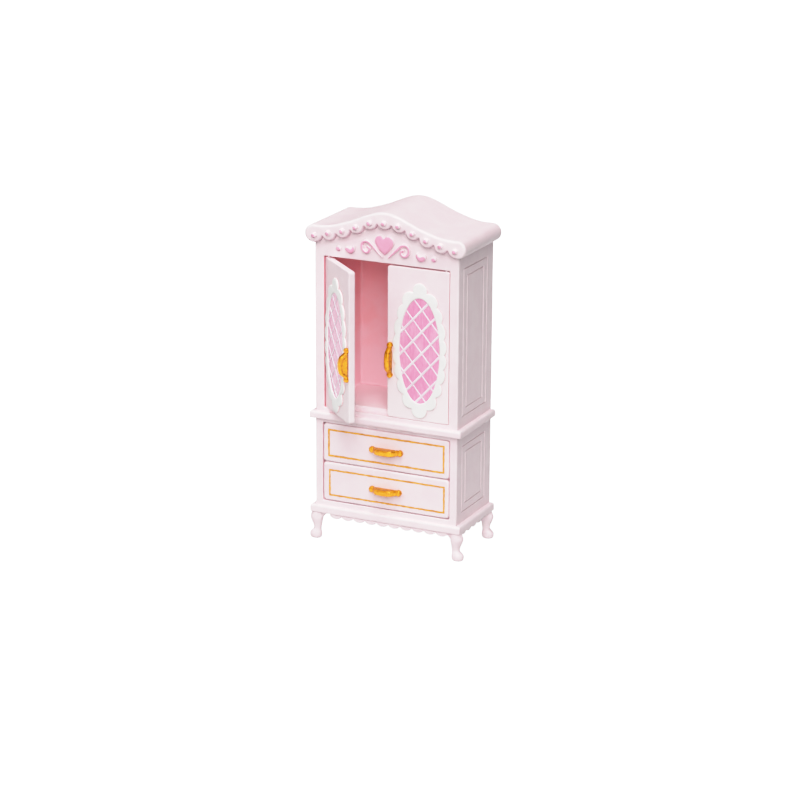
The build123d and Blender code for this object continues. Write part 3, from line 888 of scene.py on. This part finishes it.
frieze_depth = front - span("frieze_heart")[0][1]
dot_depth = front - span("frieze_dots")[0][1]


def relief(name, loops, depth, rounding, painted, replaces, grid=0.35):
    """Ornament on the frieze, its crest painted a little off to the lower left."""
    start, end, off_x, off_z = painted

    def brushed(points, loop):
        moved = points + np.array([off_x, off_z])
        away = distances(moved, loop) * np.where(inside(moved, [loop]), 1, -1)
        return (away - start) / (end - start)

    parts = [
        raised(loop, rounding, front, depth, grid, lambda points, loop=loop: brushed(points, loop))
        for loop in loops
    ]
    ornaments(name, parts, replaces)


heart_x = -0.3


def heart_outline():
    right = [
        (0.0, 92.5), (0.58, 93.05), (1.54, 93.23), (2.5, 92.75), (3.05, 91.78), (2.92, 90.7),
        (2.28, 89.65), (1.28, 88.5), (0.0, 87.5)
    ]
    curve = smooth_path(right, 0.25)
    return [(x + heart_x, z) for x, z in curve[:-1] + mirrored(curve[1:])[::-1]]


scroll_path = [
    (0.95, 86.95), (2.7, 88.6), (4.2, 90.05), (5.65, 91.0), (7.0, 90.55), (7.3, 89.35), (6.75, 88.2),
    (5.85, 87.85), (5.0, 88.3), (4.85, 89.1), (5.5, 89.5)
]
scroll_widths = [0.34, 0.55, 0.74, 0.82, 0.85, 0.85, 0.85, 0.82, 0.75]
drop_outline = [
    (9.75, 89.45), (10.2, 89.3), (10.55, 88.7), (11.1, 88.75), (11.9, 89.05), (12.5, 88.75),
    (12.6, 88.1), (11.9, 87.2), (10.6, 86.9), (9.75, 87.5), (9.35, 88.4), (9.4, 89.1)
]
dot_spot = (14.8, 88.0, 0.85)


def frieze_pieces():
    relief(
        "frieze_heart_relief", [heart_outline()], frieze_depth, 0.8, (0.0, 0.2, 0.16, 0.18),
        ["frieze_heart"]
    )
    scroll = stroke(smooth_path(scroll_path, 0.18), scroll_widths)
    for side, outline in (("left", mirrored(scroll)), ("right", scroll)):
        relief(
            f"frieze_scroll_{side}_relief", [outline], frieze_depth, 0.42,
            (-0.02, 0.16, 0.09, 0.12), [f"frieze_scroll_{side}"], grid=0.25,
        )
    bud = closed_path(drop_outline, 0.2)
    relief(
        "frieze_buds", [bud, mirrored(bud)], frieze_depth, 0.62, (0.05, 0.35, 0.08, 0.28),
        ["frieze_drops"]
    )
    x, z, radius = dot_spot
    dots = [ellipse(sign * x, z, radius, radius, 28) for sign in (-1, 1)]
    relief("frieze_beads", dots, dot_depth, 0.6, (0.0, 0.3, 0.08, 0.32), ["frieze_dots"], grid=0.3)


frieze_pieces()

# ---- frames and side panels

corner_radius = 0.42
opening_rim = 0.28
tuck = 0.6  # how far the boards reach into the shelves below them
door_opening = (-19.62, 40.3, 19.62, 85.15)
drawer_opening = (-20.12, 12.05, 20.12, 35.8)


def face_frame(name, outline, opening, radius, replaces, jamb_paint):
    """Front frame whose jambs show the inside plastic, apart from a painted sill."""

    def jamb(middle, which):
        return 1 if which == 1 and middle[1] > opening[1] + 0.02 else 0

    part = plate(
        [(outline, corner_radius, 0), (rectangle(*opening, radius), opening_rim, 0)], -front,
        -frame_back, on_front(), 3.0, wall_slot=jamb
    )
    on_cabinet(name, [part], replaces, [shell, jamb_paint])


def frame_pieces():
    foot = [(half_width, waist_high[2] - tuck)]
    shoulder = [
        (half_width, side_top), (half_width - rim_inset, side_top + 0.45), (wall_inside, side_top + 1.0)
    ]
    under = gable(roof_thickness, wall_inside)
    right = foot + shoulder
    upper = subdivided(mirrored(foot) + right + under + mirrored(shoulder)[::-1], 3.0)
    face_frame("upper_frame", upper, door_opening, 0.35, ["upper_face_frame"], gap_and_shade_pink)
    lower = rectangle(-half_width, base_high[2] - tuck, half_width, waist_low[2] + 0.4)
    face_frame("lower_frame", lower, drawer_opening, 0.5, ["lower_face_frame"], pale_gap)


frame_pieces()

# half depth along Y, lowest and highest z of each groove
upper_grooves = [(8.1, 42.3, 85.25), (5.6, 44.55, 83.0)]
lower_grooves = [(7.95, 13.65, 33.4), (5.6, 16.0, 31.3)]
groove_section = [(0.2, 0.0), (0.15, 0.03), (0.07, 0.28), (-0.07, 0.28), (-0.15, 0.03), (-0.2, 0.0)]


def side_panel(name, sign, low, high, grooves, replaces):
    """Side wall with nested V-grooves."""
    place = on_side(sign, half_width)
    depth_front, depth_back = frame_back - 0.05, cabinet_back
    if sign < 0:
        depth_front, depth_back = -depth_front, -depth_back
    y0, y1 = min(depth_front, depth_back), max(depth_front, depth_back)
    rings = [[(y0, low), (y1, low), (y1, high), (y0, high)]]
    depths = [0.0]
    for half, z0, z1 in grooves:
        for inset, depth in groove_section:
            rings.append(
                [(-half - inset, z0 - inset), (half + inset, z0 - inset),
                 (half + inset, z1 + inset), (-half - inset, z1 + inset)]
            )
            depths.append(-depth)
    thickness = half_width - wall_inside
    points = [place @ Vector((u, v, d)) for ring, d in zip(rings, depths) for u, v in ring]
    points += [place @ Vector((u, v, -thickness)) for u, v in rings[0]]
    last, under = 4 * (len(rings) - 1), 4 * len(rings)
    faces = skin(len(rings), 4) + [(last, last + 1, last + 2, last + 3)]
    faces += [(j, i, under + i, under + j) for i, j in zip(range(4), (1, 2, 3, 0))]
    faces.append((under + 3, under + 2, under + 1, under))
    part = Part()
    part.add(points, faces)
    on_cabinet(name, [part], replaces, crease=15)


for side, sign in SIDES:
    for stage, low, high, grooves in (
        ("upper", waist_high[2] - tuck, side_top + 0.3, upper_grooves),
        ("lower", base_high[2] - tuck, waist_low[2] + 0.3, lower_grooves)
    ):
        node = f"{stage}_side_{side}"
        side_panel(f"{stage}_panel_{side}", sign, low, high, grooves, [node])

# ---- inside of the wardrobe


def interior_pieces():
    """Walls, floor and ceiling in one, and a back wall with a coved rim."""
    inner_half = span("upper_lining_right")[0][0]
    ceiling_top = span("upper_ceiling")[1][2]
    back_low = span("upper_back")[0][1]
    board, cove_radius = 0.2, 0.7
    cavity = rectangle(-inner_half, inner_low[2], inner_half, inner_high[2], 0.6)
    outer = rectangle(-wall_inside, waist_high[2], wall_inside, ceiling_top)
    walls = plate([(outer, 0, 0), (cavity, 0.25, 0)], -inner_low[1], board - back_low, on_front(), 4.0)
    on_cabinet(
        "inner_walls", [walls],
        ["upper_lining_left", "upper_lining_right", "upper_floor", "upper_ceiling"], [inner_floor],
        "interior_plastic"
    )

    def cove(points, near):
        left = np.maximum(cove_radius - near, 0)
        return 2 * (cove_radius - np.sqrt(np.maximum(cove_radius**2 - left**2, 0)))

    rear = plate([(cavity, cove_radius, 0)], board - back_low, -back_low, on_front(), 3.0, shape=cove)
    on_cabinet("inner_back", [rear], (), [inner], "interior_plastic")


interior_pieces()

# ---- shelves

shelf_corner = 0.5


def shelf_piece(name, low, high, replaces):
    """Rounded board, cut off square just in front of the back panel's plane."""
    outline = rectangle(low[0], low[1], high[0], high[1] + 0.4, shelf_corner)
    part = plate([(outline, 0.7, 0.35)], high[2], low[2], FLAT, 4.0)
    for point in part.points:
        point.y = min(point.y, high[1] - 0.03)
    on_cabinet(name, [part], replaces)


shelf_piece("waist_moulding", waist_low, waist_high, ["waist_shelf"])
shelf_piece("base_moulding", base_low, base_high, ["base_shelf"])

# ---- aprons


apron_depth = 0.8
apron_notch = 7.7
side_lobes, side_pitch = 4, 3.66


def apron(name, place, low, high, pitch, count, replaces):
    """Scalloped strip under the base shelf, between low and high."""
    (first, lobe), (end, top) = low, high
    points = []
    for i in range(count):
        notches = [(first + k * pitch, apron_notch) for k in (i, i + 1)]
        points += arc(notches[0], (notches[0][0] + pitch / 2, lobe), notches[1], 0.2)
    last = first + count * pitch
    points.append((last, apron_notch))
    if end > last + 0.01:
        points.append((end, apron_notch))
    points += [(end, top + 0.3), (first, top + 0.3)]
    # the paint mask lays a painted shade along the strip's edges
    part = plate(
        [(points, 0.25, 0.1)], 0, -apron_depth, place, 1.5, paint=lambda points,
        near: np.clip(0.7 - near / 0.3, 0, 0.5)
    )
    on_cabinet(name, [part], replaces)


def apron_pieces():
    low, high = span("apron_front")
    lobes = 10
    pitch = (high[0] - low[0]) / lobes
    start, end = (low[0], low[2]), (high[0], high[2])
    apron("front_scallops", on_front(low[1]), start, end, pitch, lobes, ["apron_front"])
    for side, sign in SIDES:
        near, far = span(f"apron_{side}")
        place = on_side(sign, far[0] if sign > 0 else -near[0]) @ Matrix.Diagonal((sign, 1, 1, 1))
        start, end = (near[1], low[2]), (far[1], high[2])
        name = f"side_scallops_{side}"
        apron(name, place, start, end, side_pitch, side_lobes, [f"apron_{side}"])


apron_pieces()

# ---- legs

# level, how far the section's centre stands out from the ankle, half sizes in X and Y
leg_sections = [
    (0.0, 0.55, 1.25, 1.05), (0.18, 0.58, 1.6, 1.3), (0.6, 0.6, 1.8, 1.45), (1.2, 0.62, 1.88, 1.52),
    (1.8, 0.56, 1.78, 1.46), (2.3, 0.38, 1.5, 1.3), (2.75, 0.12, 1.22, 1.12), (3.2, 0.0, 1.15, 1.06),
    (4.1, 0.05, 1.32, 1.16), (5.1, 0.17, 1.66, 1.36), (6.1, 0.27, 1.95, 1.54), (6.9, 0.25, 2.0, 1.54),
    (7.6, 0.12, 1.82, 1.48), (8.45, 0.0, 1.6, 1.35)
]


ankle_inset = 2.45
bracket_half = 0.8
leg_voxel = 0.13


def leg_shells(sign, x, y):
    """Turned, outward-leaning leg and the bracket that joins it to the shelf."""
    table = np.array(leg_sections)
    levels = np.concatenate([np.linspace(0, 0.6, 6)[:-1], np.linspace(0.6, table[-1, 0], 34)])
    rings = [np.interp(levels, table[:, 0], table[:, k]) for k in (1, 2, 3)]
    sides = 28
    points = [
        (x + sign * (out + half_x * math.cos(TAU * k / sides)),
         y + half_y * math.sin(TAU * k / sides), z)
        for z, out, half_x, half_y in zip(levels, *rings)
        for k in range(sides)
    ]
    leg = Part()
    leg.add(points, capped(len(levels), sides))
    root = sign * x - 1.0
    outline = (
        [(root + 0.9, 4.6), (root + 0.9, 8.45), (root - 2.0, 8.45), (root - 2.0, 7.75)]
        + arc((root - 2.0, 7.75), (root - 0.95, 6.9), (root - 0.25, 5.6), 0.3)[1:] + [(root + 0.1, 4.6)]
    )
    outline = [(sign * u, v) for u, v in outline]
    bracket = plate([(outline, 0.3, 0.3)], bracket_half - y, -bracket_half - y, on_front())
    return [leg, bracket]


def fused(piece):
    """Melts a piece's overlapping solids into one closed skin."""
    remesh = piece.modifiers.new("union", "REMESH")
    remesh.mode = "VOXEL"
    remesh.voxel_size = leg_voxel * MM
    soften = piece.modifiers.new("soften", "SMOOTH")
    soften.factor = 0.5
    soften.iterations = 4
    graph = bpy.context.evaluated_depsgraph_get()
    result = bpy.data.meshes.new_from_object(piece.evaluated_get(graph))
    piece.modifiers.clear()
    for polygon in result.polygons:
        polygon.use_smooth = True
    piece.data = result


def leg_pieces():
    for side, sign in SIDES:
        for end in ("front", "rear"):
            node = f"leg_{end}_{side}"
            low, high = span(node)
            ankle = low[0] + ankle_inset if sign < 0 else high[0] - ankle_inset
            middle = (low[1] + high[1]) / 2
            shells = leg_shells(sign, ankle, middle)
            name = f"{end}_{side}_leg"
            fused(on_cabinet(name, shells, [node], weighted=False))


leg_pieces()

# ---- pulls


def pull_outline(length, reach):
    """Side outline of a bow: out along the first axis, its length along the second."""
    half = length / 2 - 1.3
    rise = [(0.05, half + 0.15), (0.9, half), (1.5, half * 0.87), (reach * 0.82, half * 0.66),
            (reach * 0.94, half * 0.42), (reach * 0.99, half * 0.2), (reach, 0.0)]
    curve = smooth_path(rise + [(u, -v) for u, v in rise[-2::-1]], 0.14)
    return subdivided(curve, 0.3)


def pull_piece(name, place, sizes, body, replaces):
    """Solid bow between two round knobs; each side has a groove and a ledge along its foot."""
    length, width, knob_radius, reach = sizes
    outline = pull_outline(length, reach)
    crest = np.array([p for p in outline if p[0] > 0.8])

    def sides(points):
        away = np.min(np.linalg.norm(points[:, None] - crest[None], axis=2), axis=1)
        groove = np.exp(-(((away - 1.0) / 0.2) ** 2))
        field = np.clip((away - 0.5) / 0.3, 0, 1)
        ledge = np.exp(-(((points[:, 0] - 0.5) / 0.17) ** 2))
        return groove, field, ledge

    def mottle(points, size):
        return np.array([noise.noise(Vector((p[0] * size, p[1] * size, length))) for p in points])

    def carve(points, near):
        groove, field, ledge = sides(points)
        depth = 0.07 + 0.06 * mottle(points, 2.4)
        return 0.05 * ledge - depth * groove - 0.06 * field

    def shade(points, near):
        groove, _, _ = sides(points)
        return np.clip(groove * (0.65 + 0.9 * mottle(points, 1.7)), 0, 1)

    bow = plate(
        [(outline, 0.5, 0.5)], width / 2, -width / 2, place, 0.17, shape=carve, paint=shade, both=True
    )
    knobs = []
    rotation = place.to_3x3()
    for way in (-1, 1):
        spot = place @ Vector((0, way * (length / 2 - knob_radius), 0))
        face = axes(spot, rotation.col[1], rotation.col[2])
        loop = ellipse(0, 0, knob_radius, knob_radius, 32)
        knobs.append(plate([(loop, knob_radius * 0.72, 0)], 1.15, -0.1, face, 0.25))
    make(name, [bow] + knobs, [gold], body, "gold_paint", replaces, crease=75)


# ---- doors

joints = {joint["child"]: joint for joint in frame["joints"]}
# length, width, knob radius, reach, and where the middle stands
pulls = {
    "left_door": (10.1, 1.6, 0.85, 2.95, 1.5, 57.6), "right_door": (10.5, 1.6, 0.85, 2.95, 1.4, 57.3),
    "top_drawer": (10.65, 1.75, 0.95, 2.95, 0.33, 29.9),
    "bottom_drawer": (10.3, 1.75, 0.95, 2.95, 0.15, 17.9)
}
oval = (6.2, 15.36)
tip_oval = (8.45, 19.75)
# notches on one side of the ring, from top to bottom, measured from its centre
ring_notches = [
    (2.12, 17.0), (5.3, 13.2), (6.76, 8.95), (7.54, 4.1), (7.7, -0.3), (7.5, -4.6), (6.56, -9.0),
    (5.02, -13.1), (2.45, -17.1)
]
medallion_x, medallion_z = 10.6, 60.9
# crossings of the lattice: spacing along X, and how the grid stands and sinks
cell = 5.55
lattice_shift, lattice_drop, lattice_fall = 0.63, 0.57, 0.057
bars_out = (1.08, 0.78)
bars_in = (-1.191, 0.46)
# the leaf: its hinge edge and its inner edge from the middle plane, its levels and thickness
leaf_edge, leaf_inner = 19.5, 0.45
leaf_bottom, leaf_top = 40.38, 84.72
leaf_thickness = 2.0
pin_radius, pin_reach = 0.3, 0.95
medallion_proud, bar_proud = 0.5, 0.3


def lobe_tip(start, end):
    """Where the line square to the middle of a lobe's chord meets the oval through the tips."""
    x, z = (start[0] + end[0]) / 2, (start[1] + end[1]) / 2
    out_x, out_z = start[1] - end[1], end[0] - start[0]
    a = (out_x / tip_oval[0]) ** 2 + (out_z / tip_oval[1]) ** 2
    b = x * out_x / tip_oval[0] ** 2 + z * out_z / tip_oval[1] ** 2
    c = (x / tip_oval[0]) ** 2 + (z / tip_oval[1]) ** 2 - 1
    step = (math.sqrt(b * b - a * c) - b) / a
    return x + step * out_x, z + step * out_z


def medallion_outline(middle):
    stops = ring_notches + mirrored(ring_notches)[::-1]
    points = []
    for start, end in zip(stops, stops[1:] + stops[:1]):
        trio = (start, lobe_tip(start, end), end)
        points += arc(*[(middle + x, medallion_z + z) for x, z in trio], 0.2)
    return points


def lattice_lines(middle, sign):
    """Ends of the crossing bars where they meet the oval, and their widths."""
    a, b = oval[0] + 0.15, oval[1] + 0.15
    for slope, width in (bars_out, bars_in):
        for i in range(-4, 5):
            # the line z = m * x + c, cut by the oval round (0, 0)
            m = sign * slope
            c = -lattice_drop - lattice_fall * i * cell - slope * (lattice_shift + i * cell)
            qa = 1 / a**2 + m * m / b**2
            qb = 2 * m * c / b**2
            qc = c * c / b**2 - 1
            root = qb * qb - 4 * qa * qc
            if root <= 0.02:
                continue
            xs = [(-qb + k * math.sqrt(root)) / (2 * qa) for k in (-1, 1)]
            ends = [(middle + x, medallion_z + m * x + c) for x in xs]
            yield ends[0], ends[1], width


def door_pieces(side, sign):
    body = f"{side}_door"
    joint = joints[body]
    axis = Vector(joint["pos_m"]) / MM
    hinge_x = abs(axis.x)
    turn = math.radians(-joint["range_deg"][0])
    along = Vector((math.cos(turn), sign * math.sin(turn), 0))
    outward = Vector((sign * math.sin(turn), -math.cos(turn), 0))
    face_gap = axis.y - front
    axis.z = 0
    origin = axis + outward * face_gap
    face = axes(origin, along, (0, 0, 1))
    edge = sign * (leaf_edge - hinge_x)
    inner_edge = -sign * (hinge_x - leaf_inner)
    corners = [(edge, leaf_bottom), (inner_edge, leaf_bottom), (inner_edge, leaf_top), (edge, leaf_top)]

    def uneven(x, z):
        """The free edge wanders a little."""
        if abs(x - inner_edge) >= 0.3:
            return x, z
        return x + 0.07 * noise.noise(Vector((z * 0.55, sign, 0))), z

    def gap_wall(at, which):
        return 1 if at[1] < leaf_bottom + 0.1 or abs(at[0] - edge) < 0.1 else 0

    outline = [uneven(x, z) for x, z in filleted(corners, [0.3, 0.8, 0.8, 0.3], longest=1.0)]
    leaf = plate([(outline, 0.27, 0.55)], 0, -leaf_thickness, face, 3.0, wall_slot=gap_wall)
    _, door_bottom, _, door_top = door_opening
    pin = [(ellipse(0, 0, pin_radius, pin_radius, 20), 0.08, 0.08)]
    pins = [
        plate(pin, high, low, Matrix.Translation(axis)) for low,
        high in ((door_bottom - pin_reach, leaf_bottom + 0.2), (leaf_top - 0.2, door_top + pin_reach))
    ]
    make(
        f"{side}_door_leaf", [leaf] + pins, [door_shell, gap_and_shade_pink], body, "door_plastic",
        [f"door_{side}"],
    )

    middle = -sign * (hinge_x - medallion_x)
    hole = ellipse(middle, medallion_z, *oval, 96)
    # the ring's outer side walls take the gap pink as painted shade under the lobes
    ring = plate(
        [(medallion_outline(middle), 0.38, 0), (hole, 0.34, 0)], medallion_proud, -0.05, face, 0.7,
        wall_slot=lambda at, which: 2 if which == 0 else 0
    )
    bars = []
    for a, b, width in lattice_lines(middle, sign):
        ridge = bar(a, b, width, bar_proud if width > 0.5 else bar_proud - 0.04, face)
        ridge.slots = [1] * len(ridge.faces)
        bars.append(ridge)
    make(
        f"{side}_medallion", [ring] + bars, [white, bar_paint, gap_and_shade_pink], body,
        "medallion_white", [f"medallion_{side}"], crease=50,
    )

    def pillow(points, near):
        x = sign * (points[:, 0] - middle) - lattice_shift
        z = points[:, 1] - (medallion_z - lattice_drop)
        p, q = (
            ((z - slope * x) / (cell * (slope + lattice_fall))) % 1 for slope, _ in (bars_out, bars_in)
        )
        return 0.12 * np.sqrt(np.maximum(np.sin(math.pi * p) * np.sin(math.pi * q), 0))

    pane = ellipse(middle, medallion_z, oval[0] + 0.12, oval[1] + 0.12, 96)
    panel = plate([(pane, 0, 0)], 0.06, -0.04, face, 0.3, shape=pillow)
    make(
        f"{side}_pink_panel", [panel], [panel_pink], body, "panel_pink",
        [f"door_panel_{side}"], crease=80,
    )

    *sizes, pull_x, pull_z = pulls[body]
    centre = origin + along * (-sign * (hinge_x - pull_x))
    centre.z = pull_z
    place = axes(centre, outward, (0, 0, 1))
    pull_piece(f"{side}_door_pull", place, sizes, body, [f"door_handle_{side}"])


for side, sign in SIDES:
    door_pieces(side, sign)

# ---- drawers

# for each drawer: its body, the levels of its front and of its tray, and the middle of its
# gilt line (left, right, bottom, top) with the line's width
drawers = {
    "upper": ("top_drawer", (24.07, 35.58), (24.35, 33.95), (-18.05, 18.3, 26.0, 33.8), 0.54),
    "lower": ("bottom_drawer", (12.27, 23.89), (12.25, 21.85), (-17.8, 18.5, 14.05, 21.65), 0.5)
}
tray_half, tray_wall, tray_back = 19.6, 1.2, 9.0


def wavering(points, amount, seed):
    """The outline with each point pushed a little, as a brush line wavers."""
    out = []
    for x, z in points:
        dx = noise.noise(Vector((x * 0.9, z * 0.9, seed)))
        dz = noise.noise(Vector((x * 0.9, z * 0.9, seed + 9)))
        out.append((x + dx * amount, z + dz * amount))
    return out


def drawer_pieces(name):
    body, (low, high), (floor_z, rim_z), (x0, x1, z0, z1), line_width = drawers[name]
    front_half = span(f"drawer_{name}")[1][0]
    face = plate(
        [(rectangle(-front_half, low, front_half, high, 1.0), 0.6, 0)], -front, -frame_back, on_front(),
        3.0, wall_slot=lambda middle, which: 2
    )
    tray_front = frame_back - 0.05
    inner_half = tray_half - tray_wall
    u_shape = [
        (-tray_half, tray_front), (-inner_half, tray_front), (-inner_half, tray_back - tray_wall),
        (inner_half, tray_back - tray_wall), (inner_half, tray_front), (tray_half, tray_front),
        (tray_half, tray_back), (-tray_half, tray_back)
    ]
    u_shape = filleted(u_shape, [0, 0, 0.8, 0.8, 0, 0, 0.4, 0.4])
    walls = plate([(u_shape, 0.3, 0)], rim_z, floor_z, FLAT, 4.0, slot=1)
    half = tray_half - 0.6
    sheet = rectangle(-half, tray_front, half, tray_back - 0.6, 0.4)
    bottom = plate([(sheet, 0, 0)], floor_z + tray_wall, floor_z + 0.02, FLAT, 4.0, slot=1)
    make(
        f"{name}_drawer_box", [face, walls, bottom], [drawer_shell, inner, pale_gap], body,
        "drawer_plastic", [f"drawer_{name}"],
    )
    half = line_width / 2
    seed = 3.0 if name == "upper" else 21.0
    outside = rectangle(x0 - half, z0 - half, x1 + half, z1 + half, 0.06, 0.5)
    within = rectangle(x0 + half, z0 + half, x1 - half, z1 - half, 0.0, 0.5)
    loops = [(wavering(outside, 0.11, seed), 0.03, 0), (wavering(within, 0.11, seed + 4), 0.03, 0)]
    line = plate(loops, -front + 0.05, -front - 0.02, on_front())
    make(f"{name}_gilt_line", [line], [gilt], body, "gold_paint")
    *sizes, pull_x, pull_z = pulls[body]
    place = axes((pull_x, front, pull_z), (0, -1, 0), (1, 0, 0))
    pull_piece(f"{name}_drawer_pull", place, sizes, body, [f"drawer_handle_{name}"])


for name in drawers:
    drawer_pieces(name)

# ---- carried-over boards

boards = {"upper_back": shell, "lower_back": shell, "lower_floor": inner, "drawer_divider": inner}
for node, material in boards.items():
    materials = frame["nodes"][node].data.materials
    materials.clear()
    materials.append(material)

# ---- floor, light, camera


# a photographic shoulder: scene value and the display value it is shown at
SHOULDER = [
    (0.25, 0.25), (0.5, 0.5), (0.683, 0.665), (0.825, 0.775), (0.97, 0.847), (1.09, 0.884),
    (1.32, 0.93), (1.6, 0.985), (3.0, 1.0)
]
# azimuth and elevation in degrees, power in watts
SOFTBOXES = {
    "key": (25, 35, 13.3), "high_key": (25, 60, 9.4), "overhead": (0, 85, 11.8),
    "low_fill": (25, 10, 8.1), "left_fill": (-50, 35, 7.6)
}
SOFTBOX_DISTANCE = 1.6
SOFTBOX_SIZE = 0.9
LIGHT_TARGET = Vector((0, 0, 0.055))
CAMERA_PLACE = Vector((0.329806, -0.699552, 0.279784))
CAMERA_TURN = (0.4416, 0.2983, 0.0053)  # yaw, pitch and roll in radians
LENS = 126.37


def add(name, data):
    item = bpy.data.objects.new(name, data)
    bpy.context.scene.collection.objects.link(item)
    return item


def glowing(name, albedo, tint, strength):
    """Matt material that gives off its own light."""
    finish = Finish(name, 0.9, 0.0)
    finish.base((albedo, albedo, albedo, 1))
    finish.put(finish.inputs["Emission Color"], (*tint, 1))
    finish.put(finish.inputs["Emission Strength"], strength)
    return finish


def floor_and_card():
    """A bright floor that only the camera sees, and a card of light just under it."""
    reach = 9.0
    corners = [(-reach, -reach, 0), (reach, -reach, 0), (reach, reach, 0), (-reach, reach, 0)]
    mesh = bpy.data.meshes.new("studio_floor")
    mesh.from_pydata(corners, [], [(0, 1, 2, 3)])
    floor = add("studio_floor", mesh)
    mesh.materials.append(glowing("studio_white", 0.6, (0.985, 0.995, 1.0), 1.7).material)
    floor.visible_diffuse = False
    floor.visible_shadow = False

    lit = glowing("bounce_card", 0.0, (1.0, 1.0, 1.0), 0.37)
    length = lit.node("ShaderNodeVectorMath", lit.place)
    length.operation = "LENGTH"
    fade = lit.node("ShaderNodeMapRange", length.outputs["Value"], 0.05, 0.25, 0.37, 0.0)
    lit.put(lit.inputs["Emission Strength"], fade.outputs["Result"])
    mesh = mesh.copy()
    mesh.materials.clear()
    mesh.materials.append(lit.material)
    card = add("bounce_card", mesh)
    card.location.z = -0.0005
    card.visible_camera = False
    card.visible_glossy = False


def softbox(name, azimuth, elevation, power):
    a, e = math.radians(azimuth), math.radians(elevation)
    spot = Vector((math.sin(a) * math.cos(e), -math.cos(a) * math.cos(e), math.sin(e)))
    data = bpy.data.lights.new(name, "AREA")
    data.shape = "DISK"
    data.size = SOFTBOX_SIZE
    data.energy = power
    light = add(name, data)
    light.location = LIGHT_TARGET + spot * SOFTBOX_DISTANCE
    light.rotation_euler = (-spot).to_track_quat("-Z", "Y").to_euler()


def camera():
    data = bpy.data.cameras.new("camera")
    data.lens = LENS
    data.clip_start = 0.01
    data.clip_end = 50.0
    yaw, pitch, roll = CAMERA_TURN
    ahead = Vector(
        (-math.sin(yaw) * math.cos(pitch), math.cos(yaw) * math.cos(pitch), -math.sin(pitch))
    )
    level = Vector((math.cos(yaw), math.sin(yaw), 0))
    rise = level.cross(ahead)
    across = level * math.cos(roll) + rise * math.sin(roll)
    up = rise * math.cos(roll) - level * math.sin(roll)
    pose = Matrix((across, up, -ahead)).transposed().to_4x4()
    pose.translation = CAMERA_PLACE
    item = add("camera", data)
    item.matrix_world = pose
    bpy.context.scene.camera = item


def studio():
    floor_and_card()
    world = bpy.data.worlds.new("studio")
    bpy.context.scene.world = world
    world.use_nodes = True
    background = world.node_tree.nodes["Background"]
    background.inputs["Color"].default_value = (0.98, 0.99, 1.0, 1)
    background.inputs["Strength"].default_value = 0.0
    for name, values in SOFTBOXES.items():
        softbox(name, *values)
    camera()
    view = bpy.context.scene.view_settings
    view.view_transform = "Standard"
    view.look = "None"
    view.exposure = 0.0
    view.gamma = 1.0
    view.use_curve_mapping = True
    mapping = view.curve_mapping
    mapping.clip_max_x = 4.0
    mapping.clip_max_y = 2.0
    response = mapping.curves[3]
    response.points[0].location = (0.0, 0.0)
    response.points[1].location = SHOULDER[-1]
    for spot in SHOULDER[:-1]:
        response.points.new(*spot)
    mapping.update()


studio()
